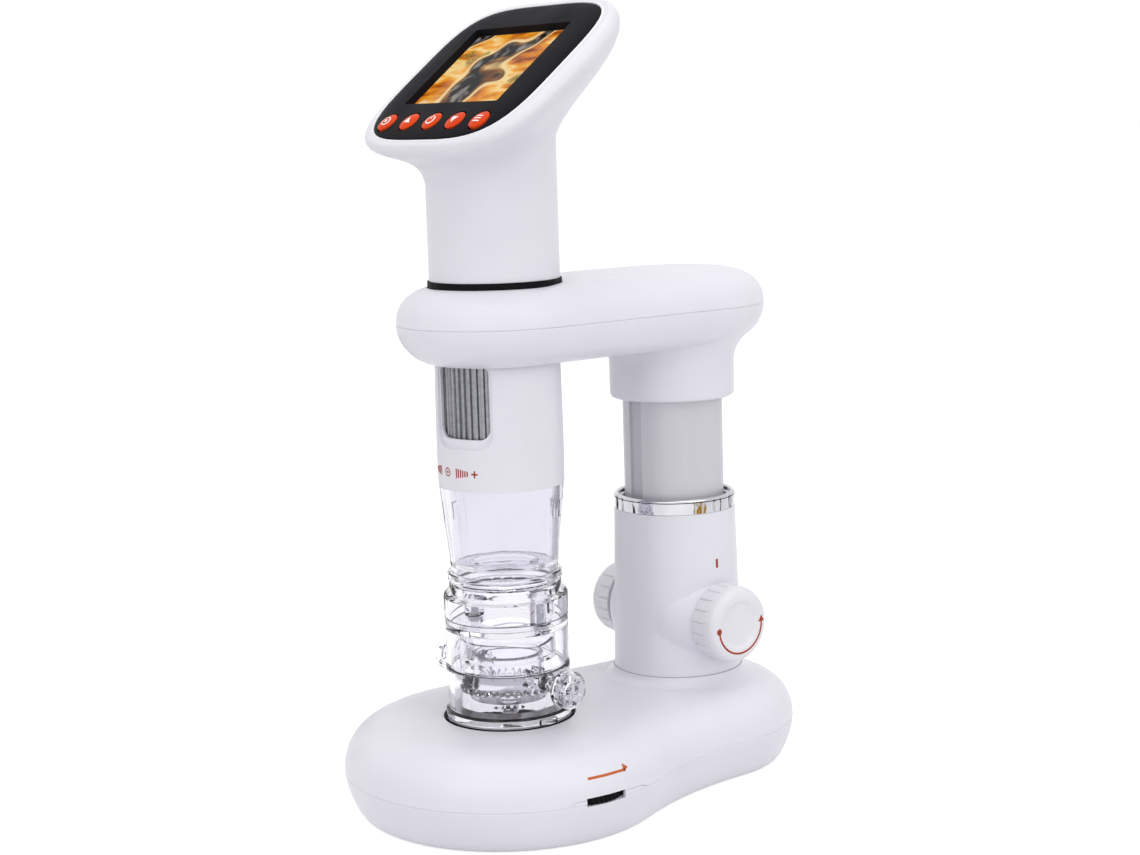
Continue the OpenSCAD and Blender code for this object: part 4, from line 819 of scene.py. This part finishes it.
def disc(x, y, radius, corners=28, turn=0.0):
    """A flat disc. Three corners make a triangle that points up before it is turned."""
    bpy.ops.mesh.primitive_circle_add(vertices=corners, radius=radius * MM, fill_type="TRIFAN")
    piece = take(bpy.context.object)
    bpy.ops.object.mode_set(mode="EDIT")
    bpy.ops.mesh.subdivide(number_cuts=6 if corners == 3 else 2)
    bpy.ops.object.mode_set(mode="OBJECT")
    spun = Matrix.Rotation(math.radians(turn), 4, "Z")
    return settle(piece, Matrix.Translation((x * MM, y * MM, 0)) @ spun)


def ring_segment(radius, wide, first, last, steps=36):
    """A flat ring segment round the origin, from one direction to another, in degrees."""
    piece = bar(radius, 0, wide, wide, cuts=1)
    choose(piece, "vertices", lambda vertex: abs(vertex.co.y) > wide * MM / 4)
    bpy.ops.mesh.delete(type="VERT")
    bpy.ops.object.mode_set(mode="OBJECT")
    settle(piece, Matrix.Rotation(math.radians(first), 4, "Z"))
    bpy.ops.object.mode_set(mode="EDIT")
    bpy.ops.mesh.select_all(action="SELECT")
    bpy.ops.mesh.spin(
        steps=steps, angle=math.radians(last - first), center=(0, 0, 0), axis=(0, 0, -1),
    )
    bpy.ops.mesh.select_all(action="SELECT")
    bpy.ops.mesh.remove_doubles(threshold=0.001 * MM)
    bpy.ops.object.mode_set(mode="OBJECT")
    if piece.data.polygons[0].normal.z < 0:
        piece.data.flip_normals()
    return piece


print("flat shapes are ready")

# %% [markdown]
# ## Laying ink on a surface
# The flat shapes of one sign are joined, carried to just in front of the wall, and projected onto
# it by a Shrinkwrap modifier, which leaves them a hundredth of a millimetre off the plastic. A
# Solidify modifier then gives the ink its thickness. The sign rides on the body that it is printed
# on, so a mark on a knob turns with the knob.

# %% Ink
INK_GAP = 0.01 * MM
INK_FILM = 0.03 * MM


def print_sign(name, shapes, place, wall, ink, body):
    """Joins flat shapes, lays them on a wall along their own -Z, and gives them a thickness."""
    bpy.ops.object.select_all(action="DESELECT")
    for shape in shapes:
        shape.select_set(True)
    bpy.context.view_layer.objects.active = shapes[0]
    if len(shapes) > 1:
        bpy.ops.object.join()
    sign = take(shapes[0])
    sign.name = name
    sign.matrix_world = place
    use_modifier(
        sign, "SHRINKWRAP", target=wall, wrap_method="PROJECT", use_project_z=True,
        use_negative_direction=True, use_positive_direction=False, offset=INK_GAP,
    )
    settle(sign)
    use_modifier(sign, "SOLIDIFY", thickness=INK_FILM, offset=1.0)
    paint(sign, ink)
    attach(sign, body)
    return sign


print("ink film:", INK_FILM / MM, "mm")

# %% [markdown]
# ## Signs on the five buttons
# From left to right the buttons select, go up, switch on, go down and open the menu. Each sign is
# a few flat shapes. A ring with a dot stands for select, triangles for up and down, an open ring
# with a bar for power, and three bars for the menu. The signs are laid on the domed caps.

# %% Button signs
BUTTON_STEP = 10.46
BUTTON_DROP = 23.2
SIGN_HEIGHT = 4
SIGN_SHIFT = 0.2
RING_RADIUS = 1.4
TRIANGLE_RADIUS = 1.45
MENU_STEP = 0.95


def button_place(step):
    across = (step * BUTTON_STEP + SIGN_SHIFT) * MM
    upwards = (-BUTTON_DROP - SIGN_SHIFT) * MM
    return screen_frame @ Matrix.Translation((across, upwards, SIGN_HEIGHT * MM))


SIGNS = {
    "select": lambda: [ring_segment(RING_RADIUS, 0.36, 0, 360), disc(0, 0, 0.55)],
    "up": lambda: [disc(0, -0.15, TRIANGLE_RADIUS, 3)],
    "power": lambda: [ring_segment(RING_RADIUS, 0.38, 125, 415), bar(0, 1.05, 0.4, 1.7)],
    "down": lambda: [disc(0, 0.15, TRIANGLE_RADIUS, 3, 180)],
    "menu": lambda: [bar(0, y, 2.6, 0.4) for y in (-MENU_STEP, 0, MENU_STEP)],
}
for step, (key, draw) in enumerate(SIGNS.items()):
    print_sign(
        key + "_sign", draw(), button_place(step - 2), dressed["button_" + key], white_ink,
        key + "_key",
    )
print("button signs:", list(SIGNS))

# %% [markdown]
# ## Marks on the stand and the handheld
# Three marks tell the hand which way to turn: an arc with a dot and an arrowhead on the right
# knob's face, a tick on the column above it, and an arrow over the dimmer wheel. The handheld's
# scale says how the focus drum works: a target in front, bars that grow shorter towards each end,
# and a minus and a plus. The scale's pieces stand round the housing, so each one is drawn at the
# origin and placed by its own direction.

# %% Marks
KNOB_ARC_R = 8.1
ARC_FROM = 184
ARC_TO = 360
HEAD_AT = 364
TICK_HEIGHT = 60.4
ARROW_HEIGHT = 18.6
ARROW_SHIFT = 1.8 * MM


def facing(direction, height, axis, reach):
    """A place outside a round wall: Z points away from its axis, X runs to the right, Y up."""
    turn = math.radians(direction)
    out = Vector((math.sin(turn), -math.cos(turn), 0))
    right = Vector((math.cos(turn), math.sin(turn), 0))
    start = Vector((axis.x, axis.y, height * MM)) + out * reach * MM
    return Matrix.Translation(start) @ Matrix((right, Vector((0, 0, 1)), out)).transposed().to_4x4()


def knob_mark():
    shapes = [
        ring_segment(KNOB_ARC_R, 0.56, ARC_FROM, ARC_TO), disc(0, 0, 0.9), disc(0, 0, 1.25, 3, 4),
    ]
    for shape, turn in ((shapes[1], ARC_FROM), (shapes[2], HEAD_AT)):
        angle = math.radians(turn)
        settle(shape, Matrix.Translation(
            (KNOB_ARC_R * MM * math.cos(angle), KNOB_ARC_R * MM * math.sin(angle), 0)
        ))
    knob = middle("right_knob")
    return print_sign(
        "knob_arc_mark", shapes, facing(90, knob.z / MM, pillar_axis, 40), dressed["right_knob"],
        red_ink, "height_drive",
    )


def column_tick():
    return print_sign(
        "column_tick_mark", [bar(0, 0, 0.8, 2.6)],
        facing(90, TICK_HEIGHT, pillar_axis, 26), dressed["outer_column"], red_ink,
        "stand",
    )


def dimmer_arrow():
    shapes = [bar(-0.4, 0, 12.4, 0.62, cuts=16), disc(5.6, 0.45, 1.2, 3, -95)]
    low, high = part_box("dimmer_wheel")
    wheel = Vector((0, (low.y + high.y) / 2 + ARROW_SHIFT, 0))
    place = facing(90, ARROW_HEIGHT, wheel, 60)
    return print_sign(
        "dimmer_arrow_mark", shapes, place, dressed["base_upper_shell"], orange_ink,
        "stand",
    )


marks = [knob_mark(), column_tick(), dimmer_arrow()]
print("marks:", [m.name for m in marks])

# %% [markdown]
# ## The focus scale
# Each side of the scale has six bars between the target and the sign. They shrink from 2.6 mm to
# 1.4 mm, as the wedge on a volume scale does. Their places are directions round the housing.

# %% Focus scale
SCALE_HEIGHT = 95.2
SCALE_REACH = 25
SCALE_TURN = -2
SCALE_BARS = 6
FIRST_BAR = 12
BAR_STEP = 2.45
BAR_HEIGHT = 2.6
BAR_SHRINK = 1.2
PLUS_AT = 31.5
PLUS_SIZE = 1.9
PLUS_STROKE = 0.42


def focus_scale():
    pieces = [(0, [ring_segment(1.05, 0.32, 0, 360), disc(0, 0, 0.4)])]
    for side in (-1, 1):
        for i in range(SCALE_BARS):
            tall = BAR_HEIGHT - BAR_SHRINK * i / (SCALE_BARS - 1)
            pieces.append((side * (FIRST_BAR + BAR_STEP * i), [bar(0, 0, 0.4, tall, cuts=2)]))
    pieces.append((PLUS_AT, [
        bar(0, 0, PLUS_SIZE, PLUS_STROKE), bar(0, 0, PLUS_STROKE, PLUS_SIZE),
    ]))
    pieces.append((-PLUS_AT, [bar(0, 0, PLUS_SIZE, PLUS_STROKE)]))
    for i, (direction, shapes) in enumerate(pieces):
        print_sign(
            f"focus_scale_{i:02d}", shapes,
            facing(direction + SCALE_TURN, SCALE_HEIGHT, hand_axis, SCALE_REACH),
            dressed["lower_housing"], red_ink, "handheld",
        )
    return len(pieces)


print("focus scale pieces:", focus_scale())

# %% [markdown]
# ## The bezel's lip
# A lip runs round the charcoal bezel, and it catches the light as one bright line. Its white is
# whiter and glossier than the shell's, and that whiter white is painted highlight. The bezel is cut
# flat just below its face, the cut's outer outline is stretched a little and lifted, and as a curve
# it gets a round section.

# %% Bezel lip
LIP_RADIUS = 0.34
LIP_CUT = 1.6
LIP_DROP = 1.4
LIP_GAP = 0.12


def bezel_lip():
    """The bezel's outline, moved out a little, as a round bead."""
    lip = merged_copy("screen_bezel")
    lip.name = "bezel_lip"
    settle(lip, screen_frame.inverted())
    bpy.ops.object.mode_set(mode="EDIT")
    bpy.ops.mesh.select_all(action="SELECT")
    bpy.ops.mesh.bisect(
        plane_co=(0, 0, -LIP_CUT * MM), plane_no=(0, 0, 1), clear_inner=True, clear_outer=True,
    )
    bpy.ops.object.mode_set(mode="OBJECT")
    outermost = max(lip.data.vertices, key=lambda v: v.co.x).index
    choose(lip, "vertices", lambda vertex: vertex.index == outermost)
    bpy.ops.mesh.select_linked()
    bpy.ops.mesh.select_all(action="INVERT")
    bpy.ops.mesh.delete(type="VERT")
    bpy.ops.object.mode_set(mode="OBJECT")
    wide, high = lip.dimensions.x, lip.dimensions.y
    out = 2 * (LIP_RADIUS + LIP_GAP) * MM
    low_y = min(v.co.y for v in lip.data.vertices)
    centre = Vector((0, low_y + high / 2, 0))
    settle(lip, Matrix.Translation(-centre))
    settle(lip, Matrix.Diagonal(((wide + out) / wide, (high + out) / high, 1, 1)))
    settle(lip, Matrix.Translation(centre + Vector((0, 0, (LIP_CUT - LIP_DROP) * MM))))
    bpy.ops.object.convert(target="CURVE")
    lip = bpy.context.object
    lip.data.bevel_depth = LIP_RADIUS * MM
    lip.data.bevel_resolution = 3
    bpy.ops.object.convert(target="MESH")
    lip = settle(take(bpy.context.object), screen_frame)
    bpy.ops.object.shade_smooth()
    # The lip's whiter white is painted highlight.
    paint(lip, highlight_white_abs)
    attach(lip, "handheld")
    return lip


print("bezel lip is ready")

# %% [markdown]
# ## Dark lines on the stand
# A thin black band under the chrome ring's rounded top is painted shade, in place of a groove's
# shadow, and a thin grey band round the column's foot is painted shadow in the joint. The rubber
# ring under the chamber is set back, so that only a thin crescent of it shows beside the flange.
# All three are short open cylinders with a thin wall.

# %% Bands
STAGE_SET_BACK = 0.3
STAGE_WALL = 0.35
STAGE_FOOT = 0.02
TRIM_WALL = 0.2
SHADE_LINE_FROM = 1.05
SHADE_LINE_TO = 0.8
SHADE_LINE_PROUD = 0.015
FOOT_SHADOW_HEIGHT = 0.16
FOOT_SHADOW_PROUD = 0.12


def band(name, radius, low, high, wall, axis, finish, body):
    """An open upright cylinder with a thin wall, round an upright axis. All in mm but the axis."""
    bpy.ops.mesh.primitive_cylinder_add(
        vertices=128, radius=radius * MM, depth=(high - low) * MM, end_fill_type="NOTHING",
        location=(axis.x, axis.y, (low + high) / 2 * MM),
    )
    piece = settle(take(bpy.context.object))
    piece.name = name
    use_modifier(piece, "SOLIDIFY", thickness=wall * MM, offset=-1.0)
    bpy.ops.object.shade_smooth_by_angle(angle=math.radians(40))
    paint(piece, finish)
    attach(piece, body)
    return piece


def radius_and_ends(node):
    """The radius, the bottom and the top of a round upright piece, in mm."""
    low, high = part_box(node)
    return (high.x - low.x) / 2 / MM, low.z / MM, high.z / MM


stage_r, stage_foot, stage_top = radius_and_ends("stage_ring")
stage_band = band(
    "stage_ring_band", stage_r - STAGE_SET_BACK, stage_foot + STAGE_FOOT,
    stage_top - STAGE_SET_BACK, STAGE_WALL, middle("stage_ring"), rubber, "stand",
)
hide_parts("stage_ring")
ring_r, _, ring_top = radius_and_ends("chrome_ring")
column_r = radius_and_ends("outer_column")[0]
pad_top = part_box("base_upper_shell")[1].z / MM
trims = [
    stage_band, bezel_lip(),
    # A thin black band as painted shade under the chrome ring's top.
    band("ring_lip_groove", ring_r + SHADE_LINE_PROUD, ring_top - SHADE_LINE_FROM, ring_top - SHADE_LINE_TO,
         TRIM_WALL, pillar_axis, black_abs, "stand"),
    # A thin grey band as painted shadow in the joint round the column's foot.
    band("column_foot_gap", column_r + FOOT_SHADOW_PROUD, pad_top, pad_top + FOOT_SHADOW_HEIGHT,
         TRIM_WALL, pillar_axis, gap_shadow_grey, "stand"),
]
print("trim:", [(t.name, len(t.data.polygons)) for t in trims])

# %% [markdown]
# ## Floor
# The object stands on a plain pale floor. The camera, mirrors and clear parts see paper with a
# glow that brings it to white, and it still takes the object's shadow. The surfaces get the light
# that plain bright paper throws back. A Light Path node tells the kinds of ray apart.

# %% Floor
FLOOR_SIDE = 24
FLOOR_GLOW = 0.77
SEEN_PAPER = (0.42, 0.42, 0.43, 1)
BRIGHT_PAPER = (0.8, 0.8, 0.81, 1)
WHITE = (1, 1, 1, 1)


def bare_material(name):
    """Starts a material with no nodes, for what is not part of the object."""
    material = bpy.data.materials.new(name)
    material.use_nodes = True
    material.node_tree.nodes.clear()
    return material, material.node_tree


def seen_rays(tree):
    """1 for the rays of the camera, mirrors and clear parts, 0 for light on surfaces."""
    rays = add_node(tree, "ShaderNodeLightPath", {}, {})
    direct = add_node(tree, "ShaderNodeMath", {"operation": "MAXIMUM"}, {
        0: rays.outputs["Is Camera Ray"], 1: rays.outputs["Is Glossy Ray"],
    })
    return add_node(tree, "ShaderNodeMath", {"operation": "MAXIMUM"}, {
        0: direct.outputs[0], 1: rays.outputs["Is Transmission Ray"],
    }).outputs[0]


def studio_floor():
    bpy.ops.mesh.primitive_plane_add(size=FLOOR_SIDE)
    floor = take(bpy.context.object)
    floor.name = "studio_floor"
    material, tree = bare_material("pale_studio_paper")
    paper = add_node(tree, "ShaderNodeBsdfDiffuse", {}, {"Color": SEEN_PAPER})
    bright = add_node(tree, "ShaderNodeBsdfDiffuse", {}, {"Color": BRIGHT_PAPER})
    glow = add_node(tree, "ShaderNodeEmission", {}, {"Color": WHITE, "Strength": FLOOR_GLOW})
    seen = add_node(tree, "ShaderNodeAddShader", {}, {0: paper.outputs[0], 1: glow.outputs[0]})
    mixed = add_node(tree, "ShaderNodeMixShader", {}, {
        0: seen_rays(tree), 1: bright.outputs[0], 2: seen.outputs[0],
    })
    add_node(tree, "ShaderNodeOutputMaterial", {}, {"Surface": mixed.outputs[0]})
    paint(floor, material)
    return floor


floor = studio_floor()
print("floor:", floor.name)

# %% [markdown]
# ## Cards for the chrome
# In an all-white room chrome looks like white paint, so a product studio stands cards round it, and
# chrome mirrors them as upright bands. Here eight cards stand round the pillar. Each row of the
# table gives a card's direction in degrees, its width in mm and its colour. The paper is mottled
# with white, so that the bands are broken as in a real room. Only mirrors see the cards.

# %% Cards
CARDS = {
    "dark_card_1": (-178, 60, "#141416"), "dark_card_2": (-156, 44, "#141416"),
    "dark_card_3": (-121, 26, "#3A3A3E"), "dark_card_4": (-104, 16, "#3A3A3E"),
    "gold_card": (7, 110, "#C08E14"), "grey_card_1": (38, 20, "#55555A"),
    "grey_card_2": (54, 20, "#6A6A70"), "grey_card_3": (86, 50, "#3A3A3E"),
}
CARD_REACH = 0.26
CARD_HEIGHT = 0.09
CARD_MOTTLE = 22


def card_paper(name, tint):
    material, tree = bare_material(name)
    place = add_node(tree, "ShaderNodeTexCoord", {}, {}).outputs["Object"]
    torn = mottle(tree, place, CARD_MOTTLE, (tint, tint, "#F4F4F6", "#FFFFFF"), 1)
    paper = add_node(tree, "ShaderNodeEmission", {}, {"Color": torn, "Strength": 1.0})
    add_node(tree, "ShaderNodeOutputMaterial", {}, {"Surface": paper.outputs[0]})
    return material


def studio_card(name, direction, wide, tint):
    """A mottled upright card that only mirrors see."""
    turn = math.radians(direction)
    out = Vector((math.cos(turn), math.sin(turn), 0))
    side = Vector((-out.y, out.x, 0))
    stand = Vector((pillar_axis.x, pillar_axis.y, CARD_HEIGHT / 2)) + out * CARD_REACH
    bpy.ops.mesh.primitive_plane_add(size=1)
    card = take(bpy.context.object)
    card.name = name
    card.matrix_world = Matrix.Translation(stand) @ Matrix(
        (side * wide * MM, Vector((0, 0, CARD_HEIGHT)), out * MM)
    ).transposed().to_4x4()
    settle(card)
    card.visible_camera = card.visible_diffuse = card.visible_shadow = False
    card.visible_transmission = False
    paint(card, card_paper(name + "_paper", tint))


for name, (direction, wide, tint) in CARDS.items():
    studio_card(name, direction, wide, tint)
print("cards:", list(CARDS))

# %% [markdown]
# ## World and lamps
# The camera, mirrors and clear parts see a white world of strength 1. The surfaces get a weaker
# light from it, at which a colour renders about as it is written. Large soft lamps shape the round
# forms: one high on the right, a weaker one beside the camera, and one above. Each row of the table
# gives a lamp's place and the side of its square in metres, and its power in watts.

# %% World and lamps
WORLD_FILL = 0.73
LAMPS = {
    "key_lamp": ((0.85, 0.15, 0.65), 0.55, 1.2),
    "fill_lamp": ((0.45, -0.75, 0.6), 0.6, 1.1),
    "top_lamp": ((0.1, -0.1, 1.1), 0.9, 2.4),
}


def white_world():
    world = bpy.data.worlds.new("studio_world")
    bpy.context.scene.world = world
    world.use_nodes = True
    tree = world.node_tree
    tree.nodes.clear()
    strength = add_node(tree, "ShaderNodeMapRange", {}, {
        "Value": seen_rays(tree), "To Min": WORLD_FILL, "To Max": 1.0,
    })
    sky = add_node(tree, "ShaderNodeBackground", {}, {
        "Color": WHITE, "Strength": strength.outputs["Result"],
    })
    add_node(tree, "ShaderNodeOutputWorld", {}, {"Surface": sky.outputs[0]})


def softbox(name, place, size, power):
    """A square lamp that looks at the middle of the object."""
    aim = (cad_low + cad_high) / 2 - Vector(place)
    bpy.ops.object.light_add(
        type="AREA", location=place, rotation=aim.to_track_quat("-Z", "Y").to_euler(),
    )
    lamp = bpy.context.object
    lamp.name = name
    lamp.data.size = size
    lamp.data.energy = power


white_world()
for name, (place, size, power) in LAMPS.items():
    softbox(name, place, size, power)
bpy.context.scene.view_settings.view_transform = "Standard"
print("lamps:", list(LAMPS))
